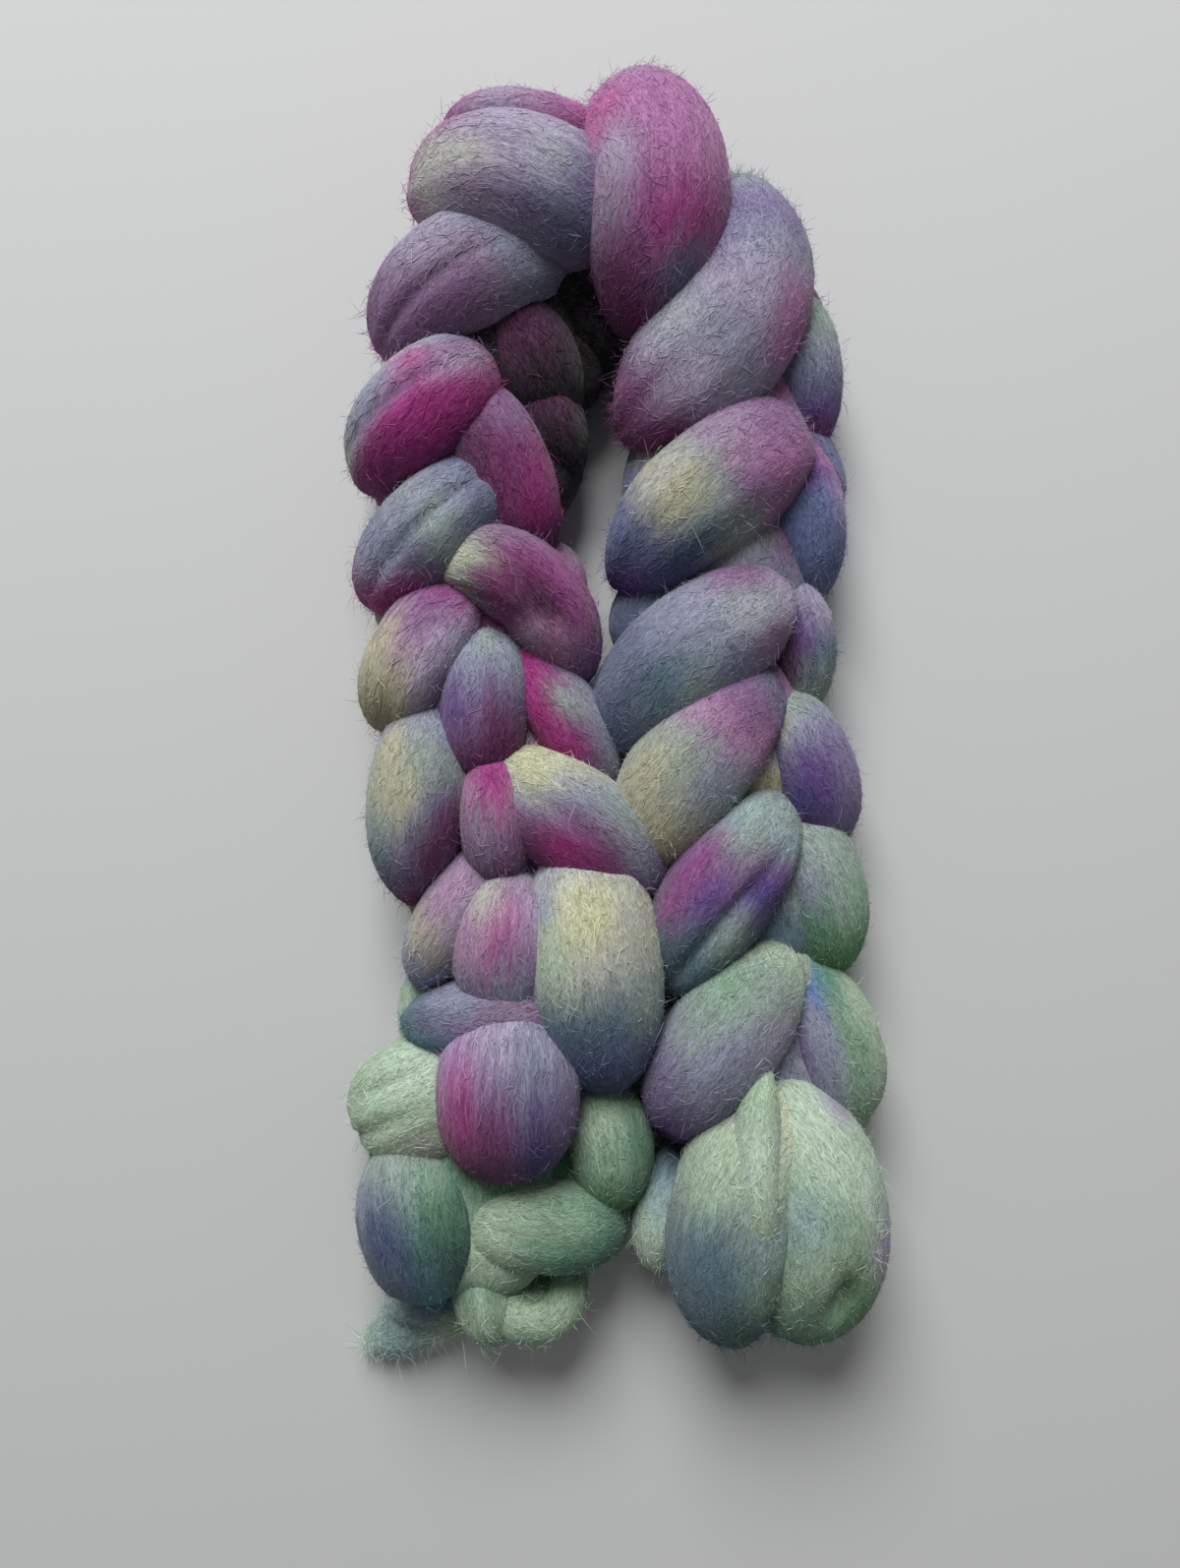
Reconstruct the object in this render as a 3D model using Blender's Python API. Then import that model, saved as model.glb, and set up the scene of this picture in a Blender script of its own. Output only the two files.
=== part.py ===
"""A chain-plaited braid of wool roving, folded once over its middle and laid on a table.

One soft length of roving is looped into a chain. Each fold of it that shows is a plump sausage that rises from
under its neighbour, crowns and dives again, so the braid is built as such folds, joined into one closed body and
flattened where it rests. Run it with blender --background --python part.py, or from Blender's text editor.

Frame: +Z up, the table at z = 0, +Y towards the bend in the braid, the origin under the middle of its box.
Sizes in the tables are millimetres and degrees.
"""

import math
from collections import namedtuple

import bmesh
import bpy
from mathutils import Vector

MM = 0.001

# How finely one fold is drawn: rings along its run and points round each ring.
FOLD_RINGS = 7
FOLD_SIDES = 10
UNDER_RINGS = 4
UNDER_SIDES = 8

# A fold's section is a slightly squared ellipse, and its ends are rounded off like a loaf's.
SECTION_POWER = 2.2
END_POWER = 3.0

# Moves the tables' places so that the origin falls under the middle of the braid's box.
SHIFT_X = -0.8
SHIFT_Y = 8.1

# x, y: the crown's place. top: the crown's height over the table. wide, deep, long: the fold's own size.
# heading: the way its fibres run at the crown, 0 along +X and 90 along +Y. bend: how far that turns over
# its length. dip_in, dip_out: how far its middle line falls to its first and last end.
# taper_in, taper_out: its ends' share of its width.
Fold = namedtuple(
    "Fold", "name x y top wide deep long heading bend dip_in dip_out taper_in taper_out"
)

FOLDS = [
    Fold("crown_left",       -29.5,   165,  66,  46,  46,   70,   -16,   -25,  26,  10, 0.80, 0.95),
    Fold("crown_back",         -25,   187,  54,  19,  34,   60,   -12,   -20,  12,   6, 0.80, 0.90),
    Fold("crown_right",         13,   160,  70,  48,  50,   82,   -88,   -60,  18,  14, 0.95, 0.75),
    Fold("right_1",           36.5, 127.5,  60,  50,  44,  100,  -114,   -85,  10,  16, 0.45, 0.90),
    Fold("right_1_outer",     61.5,   114,  40,  30,  36,   56,   -84,   -20,   6,  10, 0.80, 0.80),
    Fold("right_2",           28.5,  69.5,  58,  42,  42,   76,  -140,    20,  10,  20, 1.20, 0.75),
    Fold("right_2_outer",       63,    66,  42,  29,  36,   59,   -82,   -45,   8,  12, 0.80, 0.80),
    Fold("right_3",             24,    18,  58,  41,  42,   80,  -140,    25,  10,  22, 0.90, 0.85),
    Fold("right_3_outer",       60,    24,  40,  27,  34,   48,   -82,   -20,   8,   8, 0.80, 0.80),
    Fold("right_4",             25,   -16,  58,  39,  42,   79,  -126,    25,  10,  20, 0.90, 0.90),
    Fold("right_4_outer",       63,   -16,  44,  33,  38,   58,   -66,   -40,   8,  12, 0.85, 0.85),
    Fold("right_5",           33.5,   -57,  58,  38,  42,   73,  -122,    15,  10,  20, 0.90, 0.85),
    Fold("right_5_outer",       68,   -57,  44,  31,  38,   57,   -76,   -35,   8,  12, 0.85, 0.85),
    Fold("right_6",           34.5,  -104,  58,  39,  42,   70,  -124,    15,  10,  20, 0.90, 0.85),
    Fold("right_6_outer",       70,  -106,  44,  35,  38,   63,   -66,   -45,   8,  12, 0.85, 0.90),
    Fold("ball_left",           38,  -158,  62,  43,  50,   95,  -104,    75,  14,  26, 0.70, 0.90),
    Fold("ball_right",          64,  -157,  60,  48,  50,   97,   -80,   -80,  14,  26, 0.60, 0.90),
    Fold("ball_ridge",        43.5,  -145,  63,  18,  28,   76,   -89,    26,   6,  14, 0.60, 0.60),
    Fold("ball_curl",           74,  -156,  56,  20,  30,   37,   -60,   -70,  10,  14, 0.80, 0.80),
    Fold("ball_tuck",         15.5,  -166,  32,  22,  30,   43,   -98,    30,   4,   8, 0.80, 0.80),
    Fold("left_0",             -46,   141,  58,  41,  42,   73,  -154,    25,  12,  20, 0.85, 0.85),
    Fold("left_0_inner",       -29,   119,  44,  34,  36,   52,   -62,   -10,   6,  10, 0.80, 0.80),
    Fold("left_1",           -61.5,    96,  58,  38,  42,   54,  -138,    10,  10,  20, 0.90, 0.85),
    Fold("left_1_mid",         -38,    81,  50,  34,  40,   64,   -66,   -10,  10,  12, 0.80, 0.85),
    Fold("left_1_inner",       -22,   100,  38,  26,  32,   45,   -70,   -10,   6,   8, 0.80, 0.80),
    Fold("left_2",             -59,    58,  56,  36,  40,   60,  -134,    10,  10,  14, 0.90, 0.85),
    Fold("left_2_inner",       -29,  40.5,  57,  32,  42,   70,   -38,  -100,  18,  20, 0.80, 0.90),
    Fold("left_3",           -62.5,  18.5,  56,  35,  40,   48,  -120,    15,  10,  18, 0.90, 0.85),
    Fold("left_3_mid",         -42,     3,  56,  32,  40,   52,   -92,     0,  10,  12, 0.55, 0.90),
    Fold("left_3_inner",       -18,    -0,  48,  29,  38,   61,   -54,   -20,   8,  12, 0.85, 0.85),
    Fold("left_4",             -63,   -28,  56,  35,  42,   70,   -98,    10,  10,  18, 0.95, 0.55),
    Fold("left_4_mid",         -38, -32.5,  56,  25,  36,   41,   -88,     0,  10,  12, 0.60, 0.95),
    Fold("left_4_inner",     -12.5,   -35,  58,  38,  42,   72,   -36,   -30,   8,  22, 0.80, 0.85),
    Fold("left_5",           -51.5,   -65,  50,  26,  38,   49,  -120,     5,  10,  14, 0.85, 0.85),
    Fold("left_5_mid",         -34, -72.5,  59,  36,  38,   45,   -96,     0,  12,  12, 0.50, 0.95),
    Fold("left_5_inner",        -7,   -80,  64,  46,  50,   83,   -85,     0,  14,  22, 0.80, 0.85),
    Fold("left_6",             -37,   -96,  55,  27,  34,   64,  -172,    12,  10,  16, 0.80, 0.90),
    Fold("left_7",             -59,  -124,  48,  42,  38,   52,  -157,    10,  10,  14, 0.85, 1.05),
    Fold("left_7_mid",         -34,  -119,  64,  48,  50,   47,   -92,     0,  18,  20, 0.75, 0.95),
    Fold("left_7_inner",      -1.5,  -140,  43,  31,  34,   45,   -82,   -60,   8,  12, 0.80, 0.85),
    Fold("left_8",             -64,  -165,  52,  40,  42,   48,   -82,     0,  10,  20, 0.95, 0.75),
    Fold("left_8_inner",       -25,  -166,  48,  33,  38,   50,    -8,   -20,  10,  16, 1.00, 1.05),
    Fold("end_fold",         -42.5,  -190,  38,  23,  28,   35,   -82,     0,   8,  10, 0.85, 0.85),
    Fold("end_curl",           -27,  -198,  36,  22,  28,   46,     0,   240,   6,   6, 0.80, 0.80),
    Fold("end_teal",           -60,  -197,  26,  13,  20,   40,  -158,     0,   4,  10, 0.90, 0.50),
    Fold("tail",               -66,  -210,  14,  16,  12,   44,  -160,     0,   2,   4, 1.00, 1.00),
]

# The line that the braid's underside follows, from its loose end over the bend to the ball at its other end.
UNDER_LINE = [
    (-44, -160), (-42, -130), (-32, -82), (-36, -30), (-44, 20), (-48, 70), (-47, 118),
    (-14, 152), (22, 150), (40, 112), (40, 62), (34, 14), (42, -32), (46, -78), (48, -118), (48, -150),
]
# Each step of the chain shows two folds below, set in herringbone either side of that line.
UNDER_PITCH = 46
UNDER_ASIDE = 14
UNDER_SPLAY = 32
UNDER_STRAY = 6
UNDER_TOP = 35
UNDER_WIDE = 38
UNDER_DEEP = 38
UNDER_LONG = 60
UNDER_DIP = 3
# The inner run of the roving, which fills the middle of the braid between the folds.
CORE_TOP = 42
CORE_WIDE = 52
CORE_DEEP = 32
CORE_LONG = 66

ROVING_COLOUR = (0.45, 0.38, 0.50, 1.0)
ROVING_ROUGHNESS = 0.95
FLOOR_CUT = 200


def clear_scene():
    for thing in list(bpy.data.objects):
        bpy.data.objects.remove(thing)


def centre_at(fold, share):
    """The middle line's place and heading at share -1 (first end) to 1 (last end) of the fold's run."""
    run = share * fold.long / 2
    start = math.radians(fold.heading)
    curl = math.radians(fold.bend) / fold.long
    turned = start + curl * run
    if abs(curl) < 1e-6:
        x, y = run * math.cos(start), run * math.sin(start)
    else:
        x = (math.sin(turned) - math.sin(start)) / curl
        y = (math.cos(start) - math.cos(turned)) / curl
    dip = fold.dip_in if share < 0 else fold.dip_out
    z = fold.top - fold.deep / 2 - dip * share**2
    slope = -2 * dip * share / (fold.long / 2)
    along = Vector((math.cos(turned), math.sin(turned), slope)).normalized()
    return Vector((fold.x + SHIFT_X + x, fold.y + SHIFT_Y + y, z)), along


def plumpness(fold, share):
    """The fold's size at a share of its run, as a share of its full size."""
    taper = fold.taper_in if share < 0 else fold.taper_out
    return (1 - (1 - taper) * share**2) * (1 - abs(share) ** END_POWER) ** 0.5


def section_point(angle):
    """A point of the unit section, a slightly squared circle."""
    c, s = math.cos(angle), math.sin(angle)
    return (
        math.copysign(abs(c) ** (2 / SECTION_POWER), c),
        math.copysign(abs(s) ** (2 / SECTION_POWER), s),
    )


def fold_mesh(fold, rings, sides):
    """One fold as a closed mesh: rings along its run, closed to a point at each end."""
    shape = bmesh.new()
    shares = [math.sin(math.pi * (i / (rings + 1) - 0.5)) for i in range(1, rings + 1)]
    loops = []
    for share in shares:
        centre, along = centre_at(fold, share)
        side = Vector((-along.y, along.x, 0)).normalized()
        up = along.cross(side)
        size = plumpness(fold, share) / 2
        loop = []
        for k in range(sides):
            across, rise = section_point(2 * math.pi * (k + 0.5) / sides)
            point = centre + side * across * size * fold.wide + up * rise * size * fold.deep
            loop.append(shape.verts.new(point * MM))
        loops.append(loop)
    for low, high in zip(loops, loops[1:]):
        for k in range(sides):
            n = (k + 1) % sides
            shape.faces.new((low[k], low[n], high[n], high[k]))
    first = shape.verts.new(centre_at(fold, -1)[0] * MM)
    last = shape.verts.new(centre_at(fold, 1)[0] * MM)
    for k in range(sides):
        n = (k + 1) % sides
        shape.faces.new((first, loops[0][n], loops[0][k]))
        shape.faces.new((last, loops[-1][k], loops[-1][n]))
    bmesh.ops.triangulate(shape, faces=shape.faces)
    bmesh.ops.recalc_face_normals(shape, faces=shape.faces)
    mesh = bpy.data.meshes.new(fold.name)
    shape.to_mesh(mesh)
    shape.free()
    return mesh


def line_at(points, run):
    """The place and heading at a distance along a line of straight runs."""
    for (x0, y0), (x1, y1) in zip(points, points[1:]):
        length = math.hypot(x1 - x0, y1 - y0)
        if run <= length:
            break
        run -= length
    share = min(run / length, 1)
    return x0 + share * (x1 - x0), y0 + share * (y1 - y0), math.atan2(y1 - y0, x1 - x0)


def under_folds():
    """The folds of the core and of the underside: one and two for each step, laid in herringbone."""
    total = sum(math.dist(a, b) for a, b in zip(UNDER_LINE, UNDER_LINE[1:]))
    steps = int(total // UNDER_PITCH)
    made = []
    for i in range(steps + 1):
        x, y, heading = line_at(UNDER_LINE, i * total / steps)
        made.append(
            Fold(
                f"core_{i}", x, y, CORE_TOP, CORE_WIDE, CORE_DEEP, CORE_LONG,
                math.degrees(heading) + UNDER_STRAY * math.sin(1.7 * i), 0, 1, 2, 1, 1,
            )
        )
        for side, hand in ((-1, "right"), (1, "left")):
            stray = math.sin(2.3 * i + 1.1 * side)
            made.append(
                Fold(
                    f"under_{i}_{hand}",
                    x - side * UNDER_ASIDE * math.sin(heading),
                    y + side * UNDER_ASIDE * math.cos(heading),
                    UNDER_TOP + stray,
                    UNDER_WIDE + 1.3 * stray,
                    UNDER_DEEP + 1.7 * stray,
                    UNDER_LONG + 2.9 * stray,
                    math.degrees(heading) + side * UNDER_SPLAY + UNDER_STRAY * stray,
                    0, UNDER_DIP, UNDER_DIP, 0.97, 1,
                )
            )
    return made


def guide_object(name, mesh, collection):
    """A helper that only takes part in a Boolean: it is left out of a render."""
    thing = bpy.data.objects.new(name, mesh)
    collection.objects.link(thing)
    thing.hide_render = True
    thing.display_type = "WIRE"
    return thing


def floor_cutter(collection):
    """A block whose top is the table, which flattens what would sink below it."""
    shape = bmesh.new()
    bmesh.ops.create_cube(shape, size=1)
    for point in shape.verts:
        point.co.x *= 4 * FLOOR_CUT * MM
        point.co.y *= 4 * FLOOR_CUT * MM
        point.co.z = (point.co.z - 0.5) * FLOOR_CUT * MM
    mesh = bpy.data.meshes.new("table_block")
    shape.to_mesh(mesh)
    shape.free()
    return guide_object("table_block", mesh, collection)


def roving_material():
    material = bpy.data.materials.new("roving")
    material.use_nodes = True
    surface = material.node_tree.nodes["Principled BSDF"]
    surface.inputs["Base Color"].default_value = ROVING_COLOUR
    surface.inputs["Roughness"].default_value = ROVING_ROUGHNESS
    surface.inputs["Metallic"].default_value = 0
    return material


def build_braid():
    guides = bpy.data.collections.new("guides")
    bpy.context.scene.collection.children.link(guides)
    joined = bpy.data.collections.new("folds")
    guides.children.link(joined)
    first, *others = FOLDS
    for fold in others:
        guide_object(fold.name, fold_mesh(fold, FOLD_RINGS, FOLD_SIDES), joined)
    for fold in under_folds():
        guide_object(fold.name, fold_mesh(fold, UNDER_RINGS, UNDER_SIDES), joined)
    braid = bpy.data.objects.new("roving_braid", fold_mesh(first, FOLD_RINGS, FOLD_SIDES))
    bpy.context.scene.collection.objects.link(braid)
    braid.data.materials.append(roving_material())
    join = braid.modifiers.new("join folds", "BOOLEAN")
    join.operation = "UNION"
    join.operand_type = "COLLECTION"
    join.collection = joined
    join.solver = "EXACT"
    flatten = braid.modifiers.new("flatten on table", "BOOLEAN")
    flatten.operation = "DIFFERENCE"
    flatten.object = floor_cutter(guides)
    flatten.solver = "EXACT"
    braid.data.shade_smooth()
    return braid


clear_scene()
build_braid()
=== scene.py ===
# %% [markdown]
# # A braid of hand-dyed wool roving
# Roving is combed wool before it is spun: a soft rope two or three fingers thick, with all its fibres side
# by side. A dyer sells it as a chain plait. The rope is looped through itself again and again, so each loop
# shows as a plump fold that tucks under the next one. Here the plait lies on a table, bent into a long
# arch. This first step loads the finished solid model. It fixes the place and the size of everything that
# follows.

# %% Load the frame
import bpy
import math
from collections import namedtuple
import numpy as np
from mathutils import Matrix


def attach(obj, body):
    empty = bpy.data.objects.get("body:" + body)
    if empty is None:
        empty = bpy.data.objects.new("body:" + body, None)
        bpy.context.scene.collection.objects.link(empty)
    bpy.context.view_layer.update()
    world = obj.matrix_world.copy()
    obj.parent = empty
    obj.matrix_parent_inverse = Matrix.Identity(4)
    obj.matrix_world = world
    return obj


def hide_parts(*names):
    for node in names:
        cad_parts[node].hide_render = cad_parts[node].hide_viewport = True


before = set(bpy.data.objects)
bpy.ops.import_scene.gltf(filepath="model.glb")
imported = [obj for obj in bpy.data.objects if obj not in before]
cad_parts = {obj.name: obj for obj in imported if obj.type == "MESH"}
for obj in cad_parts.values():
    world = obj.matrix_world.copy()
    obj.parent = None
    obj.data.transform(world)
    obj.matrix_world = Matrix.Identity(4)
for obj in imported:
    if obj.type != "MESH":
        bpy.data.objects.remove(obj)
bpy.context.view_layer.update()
MM = 0.001
rng = np.random.default_rng(36)

# %% [markdown]
# ## The folds of the plait
# Each fold is one loop of the roving: a fat, slightly bent sausage that dives under its neighbours at both
# ends. A rule could lay them evenly, but a soft plait never lies evenly, so each fold that shows has a row
# of its own. `x`, `y` and `top` say where its crown lies. `wide`, `deep` and `long` are its size. `heading`
# is the way its fibres run and `bend` is how far they turn. `dip_in` and `dip_out` sink its two ends, and
# the two tapers thin them. These rows are the ones that the solid was made from, in millimetres and
# degrees.

# %% Place the folds
Fold = namedtuple("Fold", "name x y top wide deep long heading bend dip_in dip_out taper_in taper_out")
FOLDS = [
    Fold("crown_left",       -29.5,   165,  66,  46,  46,   70,   -16,   -25,  26,  10, 0.80, 0.95),
    Fold("crown_back",         -25,   187,  54,  19,  34,   60,   -12,   -20,  12,   6, 0.80, 0.90),
    Fold("crown_right",         13,   160,  70,  48,  50,   82,   -88,   -60,  18,  14, 0.95, 0.75),
    Fold("right_1",           36.5, 127.5,  60,  50,  44,  100,  -114,   -85,  10,  16, 0.45, 0.90),
    Fold("right_1_outer",     61.5,   114,  40,  30,  36,   56,   -84,   -20,   6,  10, 0.80, 0.80),
    Fold("right_2",           28.5,  69.5,  58,  42,  42,   76,  -140,    20,  10,  20, 1.20, 0.75),
    Fold("right_2_outer",       63,    66,  42,  29,  36,   59,   -82,   -45,   8,  12, 0.80, 0.80),
    Fold("right_3",             24,    18,  58,  41,  42,   80,  -140,    25,  10,  22, 0.90, 0.85),
    Fold("right_3_outer",       60,    24,  40,  27,  34,   48,   -82,   -20,   8,   8, 0.80, 0.80),
    Fold("right_4",             25,   -16,  58,  39,  42,   79,  -126,    25,  10,  20, 0.90, 0.90),
    Fold("right_4_outer",       63,   -16,  44,  33,  38,   58,   -66,   -40,   8,  12, 0.85, 0.85),
    Fold("right_5",           33.5,   -57,  58,  38,  42,   73,  -122,    15,  10,  20, 0.90, 0.85),
    Fold("right_5_outer",       68,   -57,  44,  31,  38,   57,   -76,   -35,   8,  12, 0.85, 0.85),
    Fold("right_6",           34.5,  -104,  58,  39,  42,   70,  -124,    15,  10,  20, 0.90, 0.85),
    Fold("right_6_outer",       70,  -106,  44,  35,  38,   63,   -66,   -45,   8,  12, 0.85, 0.90),
    Fold("ball_left",           38,  -158,  62,  43,  50,   95,  -104,    75,  14,  26, 0.70, 0.90),
    Fold("ball_right",          64,  -157,  60,  48,  50,   97,   -80,   -80,  14,  26, 0.60, 0.90),
    Fold("ball_ridge",        43.5,  -145,  63,  18,  28,   76,   -89,    26,   6,  14, 0.60, 0.60),
    Fold("ball_curl",           74,  -156,  56,  20,  30,   37,   -60,   -70,  10,  14, 0.80, 0.80),
    Fold("ball_tuck",         15.5,  -166,  32,  22,  30,   43,   -98,    30,   4,   8, 0.80, 0.80),
    Fold("left_0",             -46,   141,  58,  41,  42,   73,  -154,    25,  12,  20, 0.85, 0.85),
    Fold("left_0_inner",       -29,   119,  44,  34,  36,   52,   -62,   -10,   6,  10, 0.80, 0.80),
    Fold("left_1",           -61.5,    96,  58,  38,  42,   54,  -138,    10,  10,  20, 0.90, 0.85),
    Fold("left_1_mid",         -38,    81,  50,  34,  40,   64,   -66,   -10,  10,  12, 0.80, 0.85),
    Fold("left_1_inner",       -22,   100,  38,  26,  32,   45,   -70,   -10,   6,   8, 0.80, 0.80),
    Fold("left_2",             -59,    58,  56,  36,  40,   60,  -134,    10,  10,  14, 0.90, 0.85),
    Fold("left_2_inner",       -29,  40.5,  57,  32,  42,   70,   -38,  -100,  18,  20, 0.80, 0.90),
    Fold("left_3",           -62.5,  18.5,  56,  35,  40,   48,  -120,    15,  10,  18, 0.90, 0.85),
    Fold("left_3_mid",         -42,     3,  56,  32,  40,   52,   -92,     0,  10,  12, 0.55, 0.90),
    Fold("left_3_inner",       -18,     0,  48,  29,  38,   61,   -54,   -20,   8,  12, 0.85, 0.85),
    Fold("left_4",             -63,   -28,  56,  35,  42,   70,   -98,    10,  10,  18, 0.95, 0.55),
    Fold("left_4_mid",         -38, -32.5,  56,  25,  36,   41,   -88,     0,  10,  12, 0.60, 0.95),
    Fold("left_4_inner",     -12.5,   -35,  58,  38,  42,   72,   -36,   -30,   8,  22, 0.80, 0.85),
    Fold("left_5",           -51.5,   -65,  50,  26,  38,   49,  -120,     5,  10,  14, 0.85, 0.85),
    Fold("left_5_mid",         -34, -72.5,  59,  36,  38,   45,   -96,     0,  12,  12, 0.50, 0.95),
    Fold("left_5_inner",        -7,   -80,  64,  46,  50,   83,   -85,     0,  14,  22, 0.80, 0.85),
    Fold("left_6",             -37,   -96,  55,  27,  34,   64,  -172,    12,  10,  16, 0.80, 0.90),
    Fold("left_7",             -59,  -124,  48,  42,  38,   52,  -157,    10,  10,  14, 0.85, 1.05),
    Fold("left_7_mid",         -34,  -119,  64,  48,  50,   47,   -92,     0,  18,  20, 0.75, 0.95),
    Fold("left_7_inner",      -1.5,  -140,  43,  31,  34,   45,   -82,   -60,   8,  12, 0.80, 0.85),
    Fold("left_8",             -64,  -165,  52,  40,  42,   48,   -82,     0,  10,  20, 0.95, 0.75),
    Fold("left_8_inner",       -25,  -166,  48,  33,  38,   50,    -8,   -20,  10,  16, 1.00, 1.05),
    Fold("end_fold",         -42.5,  -190,  38,  23,  28,   35,   -82,     0,   8,  10, 0.85, 0.85),
    Fold("end_curl",           -27,  -198,  36,  22,  28,   46,     0,   240,   6,   6, 0.80, 0.80),
    Fold("end_teal",           -60,  -197,  26,  13,  20,   40,  -158,     0,   4,  10, 0.90, 0.50),
    Fold("tail",               -66,  -210,  14,  16,  12,   44,  -160,     0,   2,   4, 1.00, 1.00),
]
SHIFT_X, SHIFT_Y = -0.8, 8.1
print(len(FOLDS), "folds, the longest", max(fold.long for fold in FOLDS), "mm")

# %% [markdown]
# ## The folds underneath
# The plait is as thick below as above. What lies under the crowns is only seen from the side, so it isn't
# placed by hand: a loop walks along the braid's middle line and lays one core fold and two slanting folds
# at each step. This is the herringbone that a chain plait shows on its back. Sines make each one a little
# uneven.

# %% Lay the folds underneath
UNDER_LINE = [
    (-44, -160), (-42, -130), (-32, -82), (-36, -30), (-44, 20), (-48, 70), (-47, 118), (-14, 152),
    (22, 150), (40, 112), (40, 62), (34, 14), (42, -32), (46, -78), (48, -118), (48, -150),
]
UNDER_PITCH, UNDER_ASIDE, UNDER_SPLAY, UNDER_STRAY = 46, 14, 32, 6
UNDER_TOP, UNDER_WIDE, UNDER_DEEP, UNDER_LONG, UNDER_DIP = 35, 38, 38, 60, 3
CORE_TOP, CORE_WIDE, CORE_DEEP, CORE_LONG = 42, 52, 32, 66


def line_at(points, run):
    """The place and heading at a distance along a line of straight runs."""
    for (x0, y0), (x1, y1) in zip(points, points[1:]):
        length = math.hypot(x1 - x0, y1 - y0)
        if run <= length:
            break
        run -= length
    share = min(run / length, 1)
    return x0 + share * (x1 - x0), y0 + share * (y1 - y0), math.atan2(y1 - y0, x1 - x0)


def under_folds():
    total = sum(math.dist(a, b) for a, b in zip(UNDER_LINE, UNDER_LINE[1:]))
    steps = int(total // UNDER_PITCH)
    laid = []
    for i in range(steps + 1):
        x, y, heading = line_at(UNDER_LINE, i * total / steps)
        turned = math.degrees(heading)
        core_turn = turned + UNDER_STRAY * math.sin(1.7 * i)
        core_size = CORE_TOP, CORE_WIDE, CORE_DEEP, CORE_LONG
        laid.append(Fold(f"core_{i}", x, y, *core_size, core_turn, 0, 1, 2, 1, 1))
        for side, hand in ((-1, "right"), (1, "left")):
            stray = math.sin(2.3 * i + 1.1 * side)
            laid.append(
                Fold(
                    f"under_{i}_{hand}",
                    x - side * UNDER_ASIDE * math.sin(heading),
                    y + side * UNDER_ASIDE * math.cos(heading),
                    UNDER_TOP + stray,
                    UNDER_WIDE + 1.3 * stray,
                    UNDER_DEEP + 1.7 * stray,
                    UNDER_LONG + 2.9 * stray,
                    turned + side * UNDER_SPLAY + UNDER_STRAY * stray,
                    0, UNDER_DIP, UNDER_DIP, 0.97, 1,
                )
            )
    return laid


UNDER_FOLDS = under_folds()
print(len(UNDER_FOLDS), "folds underneath")

# %% [markdown]
# ## The skin of a fold
# A fold could be a stretched ball, but then it would have no bend and no flat crown. Instead it is lofted:
# a middle line that curves and dips, and a slightly squared oval drawn round it, which thins out at both
# ends. NumPy works out every point at once. `share` runs from -1 to 1 along the fold, and `angle` goes
# round it.

# %% Draw a fold's skin
SECTION_POWER, END_POWER = 2.2, 3.0


def middle_line(fold, share):
    """Points of the middle line, and the way it runs there."""
    run = share * fold.long / 2
    start, curl = math.radians(fold.heading), math.radians(fold.bend or 0.01) / fold.long
    turned = start + curl * run
    dip = np.where(share < 0, fold.dip_in, fold.dip_out)
    centre = np.stack([
        fold.x + SHIFT_X + (np.sin(turned) - math.sin(start)) / curl,
        fold.y + SHIFT_Y + (math.cos(start) - np.cos(turned)) / curl,
        fold.top - fold.deep / 2 - dip * share**2,
    ], -1)
    slope = -4 * dip * share / fold.long
    along = np.stack([np.cos(turned), np.sin(turned), slope], -1)
    return centre, along / np.linalg.norm(along, axis=-1, keepdims=True)


def plumpness(fold, share):
    """The section's size along the fold, as a share of its full size."""
    taper = np.where(share < 0, fold.taper_in, fold.taper_out)
    return (1 - (1 - taper) * share**2) * (1 - np.abs(share) ** END_POWER).clip(0) ** 0.5


def oval(angle):
    """Across and up on the unit section."""
    c, s = np.cos(angle), np.sin(angle)
    power = 2 / SECTION_POWER
    return np.sign(c) * np.abs(c) ** power, np.sign(s) * np.abs(s) ** power


def smooth_skin(fold, share, angle):
    """Points of the plain lofted skin, and the way it faces."""
    centre, along = middle_line(fold, share)
    side = np.stack([-along[..., 1], along[..., 0], 0 * share], -1)
    side /= np.linalg.norm(side, axis=-1, keepdims=True)
    up = np.cross(along, side)
    size = (plumpness(fold, share) / 2)[..., None]
    across, rise = (part[..., None] for part in oval(angle))
    point = centre + side * across * size * fold.wide + up * rise * size * fold.deep
    lean = np.sign(share) * np.abs(share) ** (2 * END_POWER)
    out = side * across / fold.wide + up * rise / fold.deep + along * lean[..., None] / fold.long
    return point, out / np.linalg.norm(out, axis=-1, keepdims=True)


MIDDLE, CROWN = np.zeros(1), np.full(1, math.pi / 2)
print("crown of", FOLDS[0].name, "at", smooth_skin(FOLDS[0], MIDDLE, CROWN)[0][0].round(1), "mm")

# %% [markdown]
# ## Noise
# Combed wool is uneven in a way that nobody could draw. Noise stands in for that: a smooth random field
# that has the same value each time at the same place. Blender has noise of its own, but a few lines of
# NumPy give it for a whole skin at once. It is looked up in a fold's own directions, in millimetres, so
# that it can be stretched along the fibres, and every fold has its own seed, so that no two are alike.

# %% Make the noise


def scramble(cell, seed):
    """A repeatable number from -1 to 1 for each whole-numbered cell."""
    n = cell[..., 0] * 73856093 ^ cell[..., 1] * 19349663 ^ cell[..., 2] * 83492791 ^ seed * 1299709
    n = (n ^ (n >> 13)) * 1274126177 & 0x7FFFFFFF
    n = (n ^ (n >> 15)) * 668265263 & 0x7FFFFFFF
    return n / 0x3FFFFFFF - 1


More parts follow.
